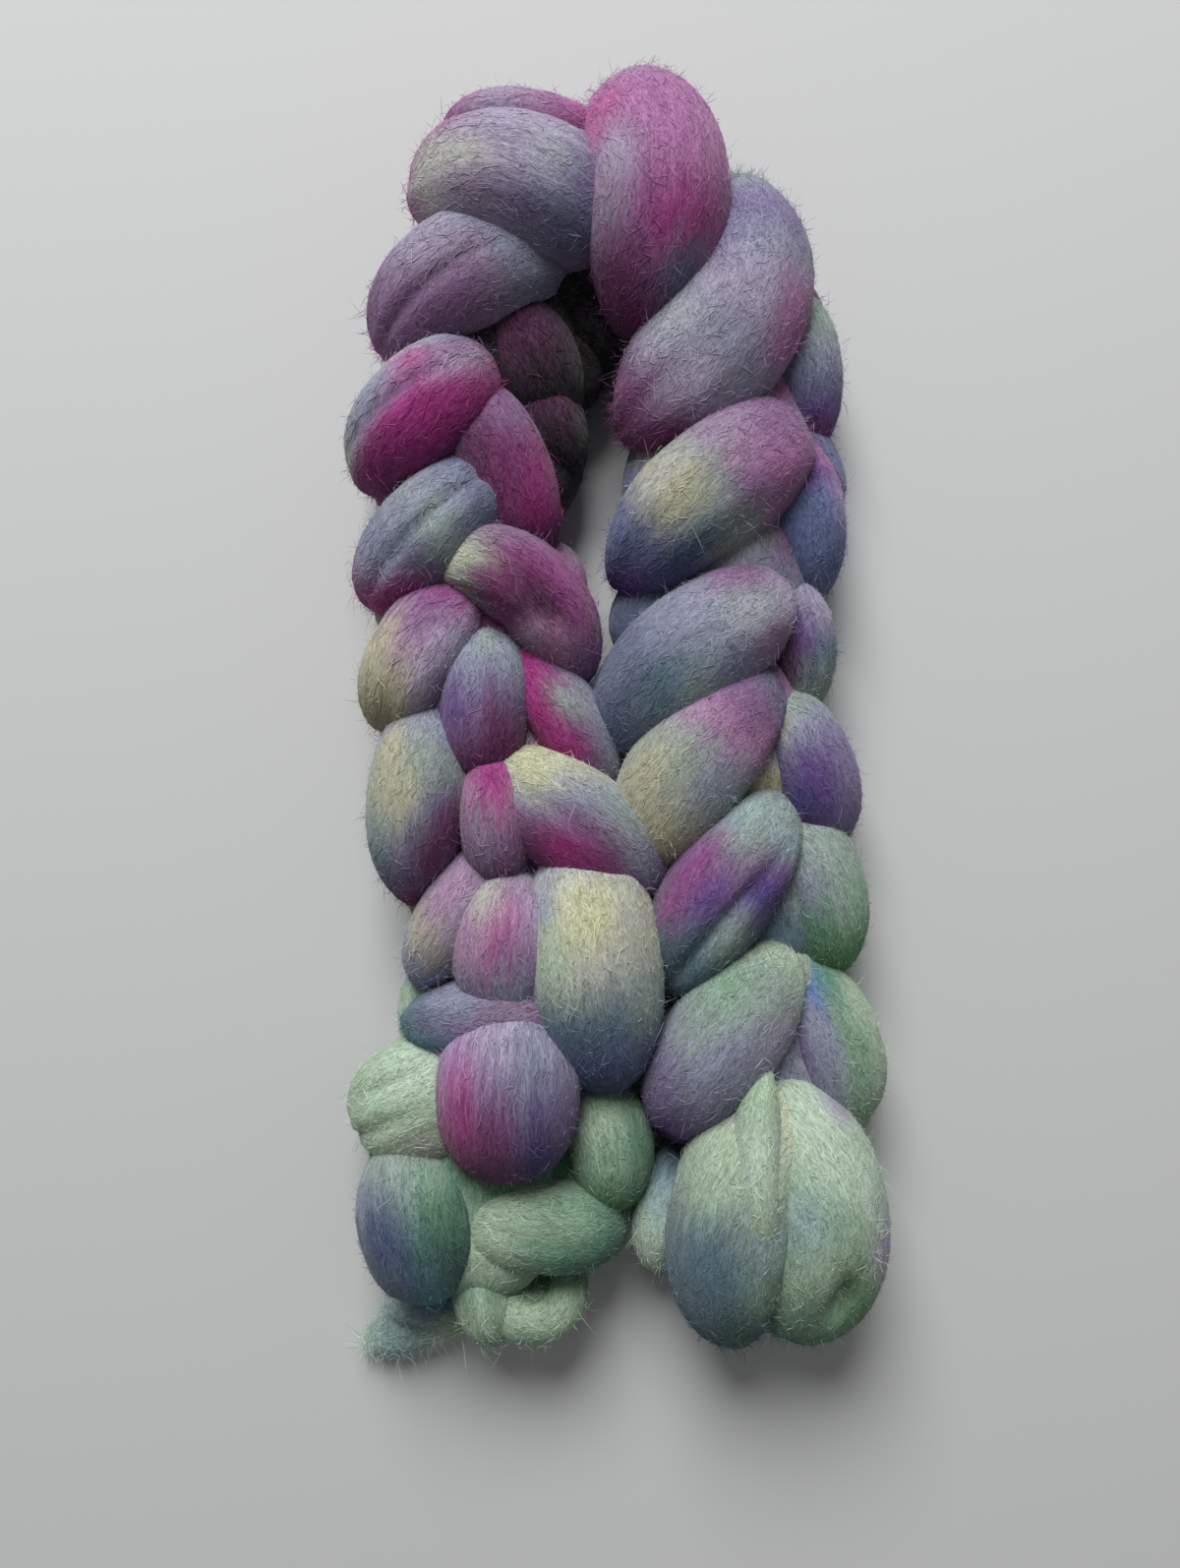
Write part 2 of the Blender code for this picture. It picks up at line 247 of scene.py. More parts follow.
def noise(place, seed):
    """Smooth noise from -1 to 1, with lumps one unit across."""
    low = np.floor(place).astype(np.int64)
    part = place - low
    part = part * part * (3 - 2 * part)
    total = 0
    for corner in np.ndindex(2, 2, 2):
        near = np.prod(np.where(corner, part, 1 - part), axis=-1)
        total = total + near * scramble(low + np.array(corner), seed)
    return total


def fold_place(fold, share, angle):
    """A place in the fold's own directions, in mm: along, across and up."""
    across, rise = oval(angle)
    return np.stack([share * fold.long / 2, across * fold.wide / 2, rise * fold.deep / 2], -1)


def fold_seed(fold):
    return sum(ord(letter) * (i + 1) for i, letter in enumerate(fold.name))


print("noise along a line:", noise(np.linspace((0, 0, 0), (3, 0, 0), 7), 1).round(2))

# %% [markdown]
# ## Lumps, tufts and creases
# A fold is a little lumpy, and its fibres gather in long, thin tufts: both are noise, stretched along the
# fibres. The few deep creases, where a fold was squeezed or doubled, are listed one by one. All this could
# be a bump in the material, but a bump doesn't change the outline, so here it moves the points of the skin
# itself.

# %% Add relief to the skin
LUMP = (26, 10, 10)
TUFT = (30, 5, 5)
LUMP_HIGH, TUFT_HIGH, SUNK = 0.9, 0.2, 0.9

# fold, from (along, across) to (along, across) as shares of the fold's half size, deep mm, wide mm
Crease = namedtuple("Crease", "fold along0 across0 along1 across1 deep wide")
CREASES = [
    Crease("crown_left", -0.5, 0.75, 0.9, 0.55, 2.5, 3.5),
    Crease("left_0", -0.2, 0.1, 0.9, 0.25, 1.6, 2.5),
    Crease("left_1", -0.5, 0.0, 0.6, -0.5, 2.2, 2.5),
    Crease("left_2", -0.7, 0.1, 0.6, -0.05, 2.5, 2.5),
    Crease("left_2_inner", 0.1, -0.9, 0.36, 0.3, 3.2, 2.8),
    Crease("left_7", -0.05, -0.58, 0.64, -0.52, 1.8, 2.5),
    Crease("left_7", 0.0, -0.02, 0.95, 0.13, 2.2, 2.5),
    Crease("right_5", -0.5, 0.55, 0.8, -0.1, 3.0, 3.0),
    Crease("right_6_outer", -0.8, 0.35, 0.6, 0.1, 2.0, 2.5),
    Crease("ball_right", -0.9, -0.7, 0.8, -0.6, 2.0, 3.5),
    Crease("ball_right", 0.25, 0.35, 0.5, 0.1, 4.0, 4.0),
    Crease("end_curl", -0.8, 0.9, 0.9, 0.9, 3.0, 3.0),
]


def crease_depth(fold, share, angle):
    """How deep the listed creases press into the upper side. They fade towards their ends."""
    place = fold_place(fold, share, angle)
    depth = 0
    for crease in CREASES:
        if crease.fold != fold.name:
            continue
        half = np.array([fold.long / 2, fold.wide / 2])
        start = np.array([crease.along0, crease.across0]) * half
        run = np.array([crease.along1, crease.across1]) * half - start
        part = ((place[..., :2] - start) @ run / (run @ run)).clip(0, 1)
        gap = np.linalg.norm(place[..., :2] - start - part[..., None] * run, axis=-1)
        fade = np.sin(math.pi * (0.08 + 0.84 * part))
        depth = depth + crease.deep * fade * np.exp(-((gap / crease.wide) ** 2)) * (place[..., 2] > 0)
    return depth


def relief(fold, share, angle):
    """How far the wool stands proud of the plain skin, in mm."""
    place = fold_place(fold, share, angle)
    seed = fold_seed(fold)
    lumps = LUMP_HIGH * noise(place / LUMP, seed)
    tufts = TUFT_HIGH * noise(place / TUFT, seed + 1)
    return (lumps + tufts) * plumpness(fold, share) ** 0.5 - crease_depth(fold, share, angle) - SUNK


def skin(fold, share, angle, lift=0):
    """Points of the finished skin, or of a layer lifted off it, and the way it faces."""
    point, out = smooth_skin(fold, share, angle)
    proud = relief(fold, share, angle) + lift
    return point + out * proud[..., None], out


print(len(CREASES), "creases, the deepest", max(crease.deep for crease in CREASES), "mm")

# %% [markdown]
# ## The dyes
# The dyer pours colours across the wet wool, one after another. Each dye is written by an everyday name and
# the colour that a screen shows for it, from 0 to 255, as it was judged. Blender reckons with light and not
# with screen numbers, so `linear` turns one into the other.

# %% Mix the dyes
DYE = {
    "silver": (170, 172, 182), "silver_blue": (152, 161, 185), "slate_grey": (141, 145, 166),
    "slate": (106, 112, 139), "slate_blue": (95, 107, 148), "navy": (67, 77, 116),
    "indigo": (72, 60, 125), "violet": (104, 71, 139), "violet_grey": (123, 110, 149),
    "lilac": (170, 145, 189), "lilac_grey": (166, 155, 180), "cornflower": (95, 123, 178),
    "mauve": (133, 96, 138), "mauve_grey": (147, 128, 153), "dusty_pink": (169, 123, 150),
    "orchid": (167, 109, 158), "orchid_grey": (170, 133, 167), "pink": (175, 89, 147),
    "plum_pink": (144, 72, 132), "magenta": (153, 37, 118), "plum": (112, 42, 96),
    # The last entry of the next line is no dye: it is painted shade, near-black, for folds that lie deep in
    # shadow.
    "wine": (75, 28, 65), "ink": (14, 6, 12),
    "cream": (200, 203, 178), "cream_grey": (182, 183, 174), "butter": (196, 198, 160),
    "khaki": (156, 150, 120), "khaki_pale": (182, 178, 150), "green_grey": (146, 162, 154),
    "teal_grey": (117, 141, 152), "slate_teal": (87, 115, 129), "teal": (79, 132, 144),
    "teal_pale": (156, 182, 179), "deep_teal": (56, 93, 103), "deep_green": (51, 91, 72),
    "mint_pale": (188, 208, 188), "sage": (134, 166, 140), "sage_pale": (172, 194, 168),
    "sea_green": (86, 134, 108), "green": (98, 146, 98), "moss": (78, 112, 76),
    "aqua_grey": (152, 175, 182),
}


def linear(colour):
    """The light that a screen colour of 0 to 255 stands for."""
    part = np.array(colour) / 255
    return np.where(part <= 0.04045, part / 12.92, ((part + 0.055) / 1.055) ** 2.4)


DYE_LIGHT = {name: linear(colour) for name, colour in DYE.items()}
print(len(DYE), "dyes, the darkest", min(DYE, key=lambda name: sum(DYE[name])))

# %% [markdown]
# ## Stripes of dye
# A dye creeps a little way along the fibres before it dries, so a fold shows a row of soft stripes. They
# could be painted on an image, but a row of names is quicker to read and to change: one row for each fold,
# in the order in which the stripes lie along it. A folded rope can show its stripes askew, so a few rows
# are turned, in degrees. The first row is no dye but painted shade: near-black for the folds deep in the
# hollow under the bend, where hardly any light gets in. A few other rows also paint shade where a fold lies
# deep in shadow.

# %% Lay the stripes
STRIPES = {
    # painted shade, near-black, for the folds deep in the hollow under the bend
    "hollow": "ink ink ink",
    "crown_left": "plum_pink orchid cream_grey lilac_grey lilac_grey silver violet_grey violet_grey mauve",
    "crown_back": "plum_pink orchid orchid_grey lilac_grey orchid_grey orchid pink pink pink",
    "crown_right": "orchid_grey orchid_grey orchid orchid orchid mauve mauve plum wine",
    "right_1": "green_grey slate_grey violet_grey slate_grey lilac_grey slate_grey lilac_grey mauve plum",
    "right_1_outer": "green_grey green_grey green_grey green_grey slate_grey slate violet plum plum",
    "right_2": "mauve_grey mauve mauve orchid_grey green_grey khaki_pale slate_blue slate_blue violet",
    "right_2_outer": "orchid orchid orchid violet slate_blue slate_blue slate_blue slate slate",
    "right_3": "mauve_grey lilac_grey green_grey slate_grey slate_grey slate slate slate_blue slate_blue",
    "right_3_outer": "slate slate slate_grey slate_grey slate slate_teal green_grey green_grey green_grey",
    "right_4": "plum slate mauve orchid_grey green_grey green_grey khaki_pale khaki khaki",
    "right_4_outer": "green_grey khaki_pale green_grey slate_grey violet_grey violet_grey violet_grey "
                     "violet_grey slate_grey",
    "right_5": "slate_grey green_grey aqua_grey mauve violet slate_teal slate_teal teal_grey teal_grey",
    "right_5_outer": "slate_grey green_grey green_grey green_grey green_grey sage green green green",
    "right_6": "cream_grey sage_pale green_grey green_grey slate_grey slate_grey violet_grey violet_grey "
               "violet",
    "right_6_outer": "violet_grey violet_grey violet_grey slate_grey slate_grey sage sage_pale sage_pale "
                     "mint_pale",
    "ball_left": "sage_pale cream cream sage_pale green_grey slate_teal slate_teal deep_teal deep_teal",
    "ball_right": "sage_pale sage_pale mint_pale sage_pale sage sage_pale sage sea_green deep_teal",
    "ball_ridge": "sage_pale sage_pale sage_pale mint_pale mint_pale sage_pale sage_pale teal_pale "
                  "slate_teal",
    "ball_curl": "mint_pale mint_pale mint_pale mint_pale teal_pale green_grey",
    "ball_tuck": "slate_teal teal_grey teal_pale mint_pale mint_pale sage",
    # left_0 starts with painted shade, near-black, at the end that lies in shadow
    "left_0": "ink slate slate_grey slate_grey mauve_grey mauve_grey mauve mauve plum_pink",
    # left_0_inner lies deep in shadow under the bend: its dark wine and near-black are painted shade
    "left_0_inner": "ink wine wine ink ink",
    "left_1": "cream_grey silver slate_grey mauve plum_pink magenta magenta magenta magenta plum",
    # left_1_mid is partly real plum and magenta dye, partly painted shade: its row is kept darker as the fold
    # lies low, in shadow
    "left_1_mid": "wine plum plum mauve plum plum plum wine wine",
    # left_1_inner lies deep in shadow under the bend: its dark wine and near-black are painted shade
    "left_1_inner": "ink wine wine ink ink",
    "left_2": "wine mauve slate slate_grey green_grey slate slate_grey plum_pink plum_pink",
    "left_2_inner": "cream cream cream green_grey plum_pink magenta plum mauve mauve_grey",
    "left_3": "plum plum plum_pink mauve orchid_grey khaki_pale khaki khaki khaki",
    "left_3_mid": "slate slate_grey slate_grey slate_grey violet_grey mauve plum wine wine",
    "left_3_inner": "magenta magenta magenta magenta magenta mauve slate_grey slate_grey slate",
    "left_4": "slate_grey slate_grey slate_grey green_grey green_grey slate_grey violet_grey plum plum",
    "left_4_mid": "plum_pink pink pink orchid dusty_pink mauve mauve wine wine",
    "left_4_inner": "butter butter butter cream_grey slate_grey mauve plum plum plum wine wine",
    "left_5": "mauve mauve mauve_grey lilac_grey mauve_grey khaki_pale slate_grey slate_grey slate",
    "left_5_mid": "cream_grey lilac_grey mauve_grey orchid orchid mauve_grey violet_grey violet_grey slate",
    "left_5_inner": "silver_blue silver_blue cream_grey butter cream_grey slate_teal slate_blue navy navy",
    "left_6": "wine wine plum mauve mauve violet_grey slate slate_teal teal",
    "left_7": "sage sage sage sage_pale sage_pale sage_pale sage_pale sage_pale green_grey",
    "left_7_mid": "silver silver lilac_grey lilac_grey violet_grey plum wine wine wine",
    "left_7_inner": "sage sage sage sage_pale sage sage green sea_green sea_green",
    "left_8": "sage_pale green_grey green_grey slate_teal deep_teal deep_teal deep_teal slate_teal teal",
    "left_8_inner": "sea_green sage sage_pale sage_pale sage sage sea_green sea_green deep_green",
    "end_fold": "sea_green sea_green sage sage sage sage_pale sage_pale sage sage",
    "end_curl": "sage sage sage_pale sage_pale sage sage_pale sage_pale sage sage",
    "end_teal": "deep_teal slate_teal slate_teal teal_grey teal_pale teal_pale",
    "tail": "sage_pale mint_pale mint_pale teal_pale teal_pale mint_pale",
}
TURNED = {"right_6_outer": 80, "left_1": 90, "left_3_inner": 70, "left_4_inner": -54}
print(sum(len(row.split()) for row in STRIPES.values()), "stripes on", len(STRIPES), "rows")

# %% [markdown]
# ## Splashes of dye
# Stripes alone look too even: the real dyes also fell in spots. A splash is one soft spot. It says where it
# lies along and across the fold, in shares of the fold's half size, how far it spreads, in mm, and its dye.
# A later splash covers an earlier one.

# %% Add the splashes
SPLASHES = {
    "crown_left": [
        (-0.15, -0.5, 9, "mauve_grey"), (0.2, -0.6, 9, "violet_grey"), (0.5, -0.5, 8, "slate"),
        (-0.3, -0.1, 6, "cream_grey"), (0.1, 0.7, 8, "lilac_grey"), (0.75, 0.6, 7, "pink"),
        (-0.45, 0.5, 6, "orchid"),
    ],
    "crown_right": [
        (0.25, 0.5, 8, "magenta"), (0.3, 0.1, 8, "magenta"), (0.25, -0.2, 6, "plum_pink"),
        (-0.45, -0.6, 7, "pink"), (-0.3, -0.6, 7, "pink"), (-0.05, -0.6, 8, "lilac_grey"),
        (0.25, -0.7, 7, "mauve_grey"), (-0.05, 0.4, 8, "orchid"), (0.55, 0.5, 7, "slate"),
        (0.6, -0.4, 8, "plum"),
    ],
    "right_1": [
        (-0.05, 0.75, 9, "orchid"), (0.1, 0.9, 7, "orchid"), (-0.25, -0.5, 8, "violet_grey"),
        (0, 0.2, 8, "lilac_grey"), (0.3, -0.5, 9, "silver"), (0.55, 0.1, 8, "lilac_grey"),
        (0.75, 0.5, 8, "plum"), (0.8, -0.3, 8, "plum_pink"), (0.95, 0, 7, "plum"),
    ],
    "right_2": [
        (0.2, -0.6, 7, "cream_grey"), (0.02, 0.6, 7, "green_grey"), (-0.2, 0.4, 8, "mauve"),
        (-0.5, 0.5, 9, "orchid"), (-0.25, -0.6, 8, "mauve_grey"), (0.3, 0.6, 8, "slate_teal"),
        (0.5, 0.6, 7, "navy"), (0.8, 0.2, 7, "violet"), (0.15, -0.2, 5, "khaki_pale"),
    ],
    "right_2_outer": [(-0.3, 0.9, 5, "orchid"), (0, 0.9, 5, "lilac")],
    "right_3": [
        (-0.45, -0.7, 7, "mauve"), (-0.6, -0.5, 6, "mauve"), (0, -0.3, 8, "slate_grey"),
        (0.15, 0.55, 9, "green_grey"), (-0.2, 0.5, 8, "slate"), (-0.5, 0.6, 8, "mauve"),
        (0.3, 0.1, 8, "slate_teal"), (-0.35, 0, 7, "silver"),
    ],
    "right_3_outer": [
        (-0.05, -0.1, 7, "violet"), (0, -0.7, 8, "wine"), (0.3, -0.6, 8, "wine"),
        (-0.3, 0.7, 6, "lilac_grey"),
    ],
    "right_4": [
        (-0.3, 0.4, 8, "orchid"), (-0.5, 0.2, 7, "mauve"), (-0.15, 0.5, 6, "orchid_grey"),
        (0.25, -0.6, 8, "khaki_pale"), (0.45, 0, 8, "khaki_pale"), (0.1, 0.5, 8, "slate_grey"),
    ],
    "right_4_outer": [
        (0.3, -0.2, 8, "indigo"), (0.15, -0.1, 6, "violet"), (0.35, -0.5, 6, "indigo"),
        (-0.5, -0.2, 5, "khaki_pale"),
    ],
    "right_5": [
        (0, -0.6, 7, "plum_pink"), (-0.1, 0, 7, "mauve"), (0.25, -0.7, 6, "plum_pink"),
        (0.1, -0.2, 6, "violet"), (-0.2, 0.6, 6, "violet"), (0, 0.6, 7, "indigo"),
        (0.25, 0.5, 6, "green_grey"), (-0.4, -0.2, 7, "green_grey"),
    ],
    "right_5_outer": [(0.05, 0.7, 7, "sage"), (0, -0.5, 7, "slate_grey"), (0.3, -0.5, 6, "sea_green")],
    "right_6": [
        (0, -0.6, 8, "green_grey"), (-0.3, -0.6, 8, "sage"), (0.5, -0.7, 7, "violet_grey"),
        (0.15, 0.1, 8, "slate_grey"), (-0.2, 0.7, 8, "lilac_grey"), (0.8, 0, 7, "violet"),
    ],
    "right_6_outer": [
        (-0.6, 0.1, 7, "cornflower"), (-0.5, 0.25, 5, "cornflower"), (-0.45, 0.6, 5, "sea_green"),
        (0.5, 0.1, 6, "sage"), (0.1, 0.45, 5, "sage"),
    ],
    "ball_left": [
        (-0.35, -0.3, 9, "sage_pale"), (-0.1, -0.6, 8, "sage_pale"), (0.15, -0.5, 8, "slate_teal"),
        (0.35, -0.4, 8, "slate_teal"), (0.1, 0.6, 8, "teal_pale"), (0.35, 0.5, 8, "sage"),
        (0.55, 0, 7, "deep_green"),
    ],
    "ball_right": [
        (-0.45, 0.8, 5, "lilac_grey"), (-0.1, 0.6, 8, "mint_pale"), (-0.25, 0.3, 8, "mint_pale"),
        (0, -0.3, 8, "teal_pale"), (0.3, 0.3, 5, "moss"), (0.45, 0.6, 7, "green"), (0.5, -0.3, 8, "sage"),
        (0.2, 0.85, 6, "lilac_grey"),
    ],
    "left_0": [
        (0, -0.7, 9, "slate_grey"), (0.3, -0.6, 8, "lilac_grey"), (0.2, 0.6, 9, "mauve"),
        (0.5, 0.5, 8, "mauve"),
    ],
    "left_1": [
        (-0.3, -0.05, 5, "lilac_grey"), (-0.1, -0.55, 5, "pink"), (-0.6, 0, 7, "mauve_grey"),
        (0.2, 0.2, 8, "magenta"), (-0.1, 0.4, 7, "magenta"), (0.75, -0.5, 6, "cream_grey"),
        (0.4, -0.7, 7, "slate_grey"), (0.9, 0.2, 6, "plum"), (0.6, 0.6, 6, "plum"),
    ],
    "left_1_mid": [
        (0.3, 0.6, 8, "magenta"), (0.55, 0.5, 8, "magenta"), (-0.2, 0.6, 7, "mauve"), (0, -0.3, 8, "wine"),
        (0.1, 0.2, 6, "plum"),
    ],
    "left_2": [
        (0.5, 0.6, 6, "magenta"), (0.75, 0.4, 6, "magenta"), (-0.4, 0.5, 7, "slate"),
        (0.1, -0.5, 7, "slate_grey"),
    ],
    "left_2_inner": [
        (-0.15, 0.7, 7, "mauve"), (-0.05, -0.5, 8, "plum"), (0.1, 0, 8, "magenta"), (0.15, 0, 9, "wine"),
        (0.3, 0.7, 8, "plum_pink"), (0.4, -0.7, 7, "mauve_grey"), (0.6, -0.3, 8, "dusty_pink"),
        (0.7, 0.2, 7, "mauve"), (-0.5, -0.1, 8, "cream"), (-0.45, 0.7, 6, "mauve"),
    ],
    "left_3": [
        (0.2, -0.7, 7, "khaki_pale"), (-0.2, 0.6, 7, "lilac_grey"), (0.05, 0.6, 7, "lilac_grey"),
        (0.3, 0.7, 6, "mauve_grey"),
    ],
    "left_3_mid": [(-0.5, 0.1, 5, "green_grey"), (0.15, -0.7, 7, "violet"), (0.3, 0.5, 7, "plum")],
    "left_3_inner": [(0.3, -0.3, 6, "magenta"), (0, 0.3, 5, "green_grey")],
    "left_4": [
        (-0.3, -0.6, 7, "khaki_pale"), (0, -0.5, 7, "khaki_pale"), (0, -0.1, 5, "khaki_pale"),
        (0.25, -0.7, 6, "green_grey"), (0.5, -0.7, 6, "slate_teal"), (0.05, 0.6, 7, "violet_grey"),
        (0.35, 0.5, 7, "plum"), (0.15, 0.8, 6, "plum"),
    ],
    "left_4_mid": [(-0.25, 0, 6, "magenta"), (0.22, -0.3, 5, "mauve_grey")],
    "left_4_inner": [
        (0.3, 0.7, 8, "green_grey"), (0.5, 0.2, 6, "slate_grey"), (-0.4, 0.3, 7, "butter"),
        (0.1, -0.5, 6, "magenta"),
    ],
    "left_5": [(-0.15, -0.3, 7, "orchid_grey"), (0.1, 0.5, 6, "lilac_grey")],
    "left_5_mid": [
        (0, -0.05, 7, "pink"), (0.15, 0.2, 6, "plum_pink"), (-0.35, -0.5, 6, "cream_grey"),
        (-0.2, 0.6, 7, "lilac_grey"), (0.5, 0.2, 8, "slate_grey"), (0.1, -0.8, 6, "orchid_grey"),
    ],
    "left_5_inner": [
        (-0.35, -0.7, 7, "silver_blue"), (-0.25, 0.6, 7, "cream_grey"), (-0.05, -0.6, 7, "sage_pale"),
        (-0.3, 0, 8, "butter"), (0.2, 0.7, 7, "green_grey"),
    ],
    "left_6": [
        (-0.3, 0, 8, "mauve"), (-0.1, -0.2, 7, "mauve_grey"), (0.3, -0.7, 8, "slate_grey"),
        (0.6, 0.6, 6, "teal"),
    ],
    "left_7": [(0.2, 0.7, 7, "cream_grey"), (0, -0.6, 8, "mint_pale")],
    "left_7_mid": [
        (-0.5, -0.6, 7, "lilac_grey"), (-0.2, -0.75, 6, "lilac"), (0.05, -0.7, 6, "orchid"),
        (-0.1, 0.4, 9, "slate_grey"), (0.3, -0.55, 8, "magenta"), (0.45, -0.1, 8, "plum"),
        (0.4, 0.5, 8, "indigo"), (0.65, -0.4, 7, "wine"), (0.2, 0.85, 6, "violet_grey"),
    ],
    "left_7_inner": [(0, 0.9, 7, "sea_green")],
    "left_8": [
        (-0.55, -0.2, 9, "green_grey"), (-0.3, -0.8, 6, "slate_grey"), (0.05, -0.5, 8, "navy"),
        (0.25, -0.2, 7, "navy"), (-0.3, 0.5, 8, "sage"), (0, 0.65, 8, "sea_green"),
        (0.25, 0.5, 7, "deep_green"), (0.55, -0.5, 7, "slate_teal"), (0.55, 0.2, 7, "teal"),
    ],
    "left_8_inner": [(0, 0.6, 8, "sage_pale"), (0.3, -0.4, 8, "sea_green"), (0.25, 0.6, 7, "sage")],
    "end_curl": [(0, 0.5, 7, "sage_pale"), (0.25, 0.4, 7, "sage_pale"), (0.5, 0.9, 5, "green")],
}
print(sum(len(row) for row in SPLASHES.values()), "splashes on", len(SPLASHES), "folds")

# %% [markdown]
# ## Colour at a point
# To colour a point of the wool, we find how far along the row of stripes it lies and blend the two nearest
# dyes. The edge between two dyes is feathered: each thin lock of fibres carries its colour a little further
# or less far than its neighbour, so noise that changes quickly across the fold shifts the place we look up.
# The folds underneath have no row of their own and take the dyes of the fold that lies nearest above them,
# except the few deep in the hollow under the bend, which take the row of painted shade.

# %% Look up the dye
FEATHER, LOCK = 2.2, (30, 2.4, 2.4)
# the folds deep in the hollow under the bend, which are painted near-black as painted shade
HOLLOW = ("core_6", "core_7", "core_8", "under_5_right", "under_6_right", "under_7_right", "under_8_right")


def recipe_for(fold):
    """The name of the row that a fold is coloured by: its dyes, or painted shade for the folds in the hollow.
    """
    if fold.name in STRIPES:
        return fold.name
    if fold.name in HOLLOW:
        return "hollow"
    return min(FOLDS, key=lambda other: math.hypot(other.x - fold.x, other.y - fold.y)).name


def dye_at(fold, share, angle, creep=0):
    """The dye at places on a fold, looked up `creep` mm further along its run."""
    name = recipe_for(fold)
    turn = math.radians(TURNED.get(name, 0))
    row = np.array([DYE_LIGHT[dye] for dye in STRIPES[name].split()])
    place = fold_place(fold, share, angle)
    shift = FEATHER * noise(place / LOCK, fold_seed(fold) + 3) + creep
    run = place[..., 0] + shift
    across = place[..., 1] * plumpness(fold, share)
    reach = abs(math.cos(turn)) * fold.long / 2 + abs(math.sin(turn)) * fold.wide / 2
    step = ((math.cos(turn) * run + math.sin(turn) * across) / reach + 1) / 2 * (len(row) - 1)
    step = step.clip(0, len(row) - 1.001)
    low = step.astype(int)
    part = (step - low)[..., None]
    colour = row[low] * (1 - part) + row[low + 1] * part
    for along, aside, spread, dye in SPLASHES.get(name, ()):
        gap_along = (run - along * fold.long / 2) / spread
        gap_across = (across - aside * fold.wide / 2) / spread
        near = np.exp(-(gap_along**2) - gap_across**2)[..., None]
        colour = colour * (1 - near) + DYE_LIGHT[dye] * near
    return colour


print("light from the crown of", FOLDS[0].name, dye_at(FOLDS[0], MIDDLE, CROWN)[0].round(2))

# %% [markdown]
# ## The grid of one skin
# The skin's points are written ring after ring, and each ring is joined to the next one with four-sided
# faces. A point at each end closes it. The rings crowd together towards the ends, where the fold rounds
# off. Two layers of colour go with the points: the dye there and the dye a little further on, which the
# material mixes in thin streaks. A UV map holds millimetres along and around the fold, wandering a little,
# so that the streaks follow the fibres.

# %% Lay out a skin
RING_STEP, SIDE_STEP = 2.1, 1.7
CREEP = 3.0
WANDER, WANDER_FAR = (14, 9, 9), 1.6
MAP_SHIFT = 7.3  # sets each fold at a place of its own in the streaks
TABLE_SOFT = 0.8


def on_table(point):
    """Flattens what would sink into the table, with a soft edge."""
    height = point[..., 2] / TABLE_SOFT
    point[..., 2] = TABLE_SOFT * np.where(height > 20, height, np.log1p(np.exp(height.clip(-30, 20))))
    return point


def skin_mesh(fold, coarse=1.0):
    """Points, faces, dye, dye further on and combed places of one closed skin."""
    rings = int(fold.long / RING_STEP / coarse)
    sides = int(math.pi * (fold.wide + fold.deep) / 2 / SIDE_STEP / coarse)
    share = np.sin(math.pi * (np.arange(1, rings + 1) / (rings + 1) - 0.5))
    angle = 2 * math.pi * np.arange(sides) / sides - math.pi / 2
    share, angle = (grid.ravel() for grid in np.meshgrid(share, angle, indexing="ij"))
    share = np.append(share, [-1, 1])
    angle = np.append(angle, [0, 0])
    point, _ = skin(fold, share, angle)
    ring, side = (grid.ravel() for grid in np.meshgrid(np.arange(rings - 1), np.arange(sides), indexing="ij"))
    here = ring * sides + side
    beside = ring * sides + (side + 1) % sides
    walls = np.stack([here, beside, beside + sides, here + sides], -1)
    k = np.arange(sides)
    last = (rings - 1) * sides
    first_cap = np.stack([0 * k + rings * sides, (k + 1) % sides, k], -1)
    last_cap = np.stack([0 * k + rings * sides + 1, last + k, last + (k + 1) % sides], -1)
    around = math.pi * (fold.wide + fold.deep) / 2 / sides
    wander = WANDER_FAR * noise(fold_place(fold, share, angle) / WANDER, fold_seed(fold) + 4)
    run = share * fold.long / 2 + MAP_SHIFT * (fold_seed(fold) % 97)

    def combed(corner, step):
        """The place in mm along and around the fold of one corner of each face."""
        return np.stack([run[corner], step * around + wander[corner]], -1)

    walls_uv = np.stack([
        combed(here, side), combed(beside, side + 1),
        combed(beside + sides, side + 1), combed(here + sides, side),
    ], 1)
    first_uv = np.stack([combed(first_cap[:, 0], k + 0.5), combed(first_cap[:, 1], k + 1), combed(k, k)], 1)
    last_uv = np.stack([
        combed(last_cap[:, 0], k + 0.5), combed(last + k, k), combed(last_cap[:, 2], k + 1),
    ], 1)
    return {
        "points": on_table(point),
        "faces": [walls, first_cap, last_cap],
        "combed": [walls_uv, first_uv, last_uv],
        "dye": dye_at(fold, share, angle),
        "dye_on": dye_at(fold, share, angle, CREEP),
    }


print("skin of", FOLDS[0].name, "has", len(skin_mesh(FOLDS[0])["points"]), "points")

# %% [markdown]
# ## From arrays to meshes
# Blender can build a mesh face by face, which takes long for so many. Filling its lists in one go from
# arrays is far quicker. A corner list names the point at each corner of each face, and every face says
# where its own corners start. Colours are stored with the points, and the UV map with the corners.

# %% Write the meshes


def add_colours(mesh, name, colours):
    """Stores one colour for each point of a mesh."""
    layer = mesh.attributes.new(name, "FLOAT_COLOR", "POINT")
    opaque = np.concatenate([colours, np.ones((len(colours), 1))], 1)
    layer.data.foreach_set("color", opaque.astype(np.float32).ravel())


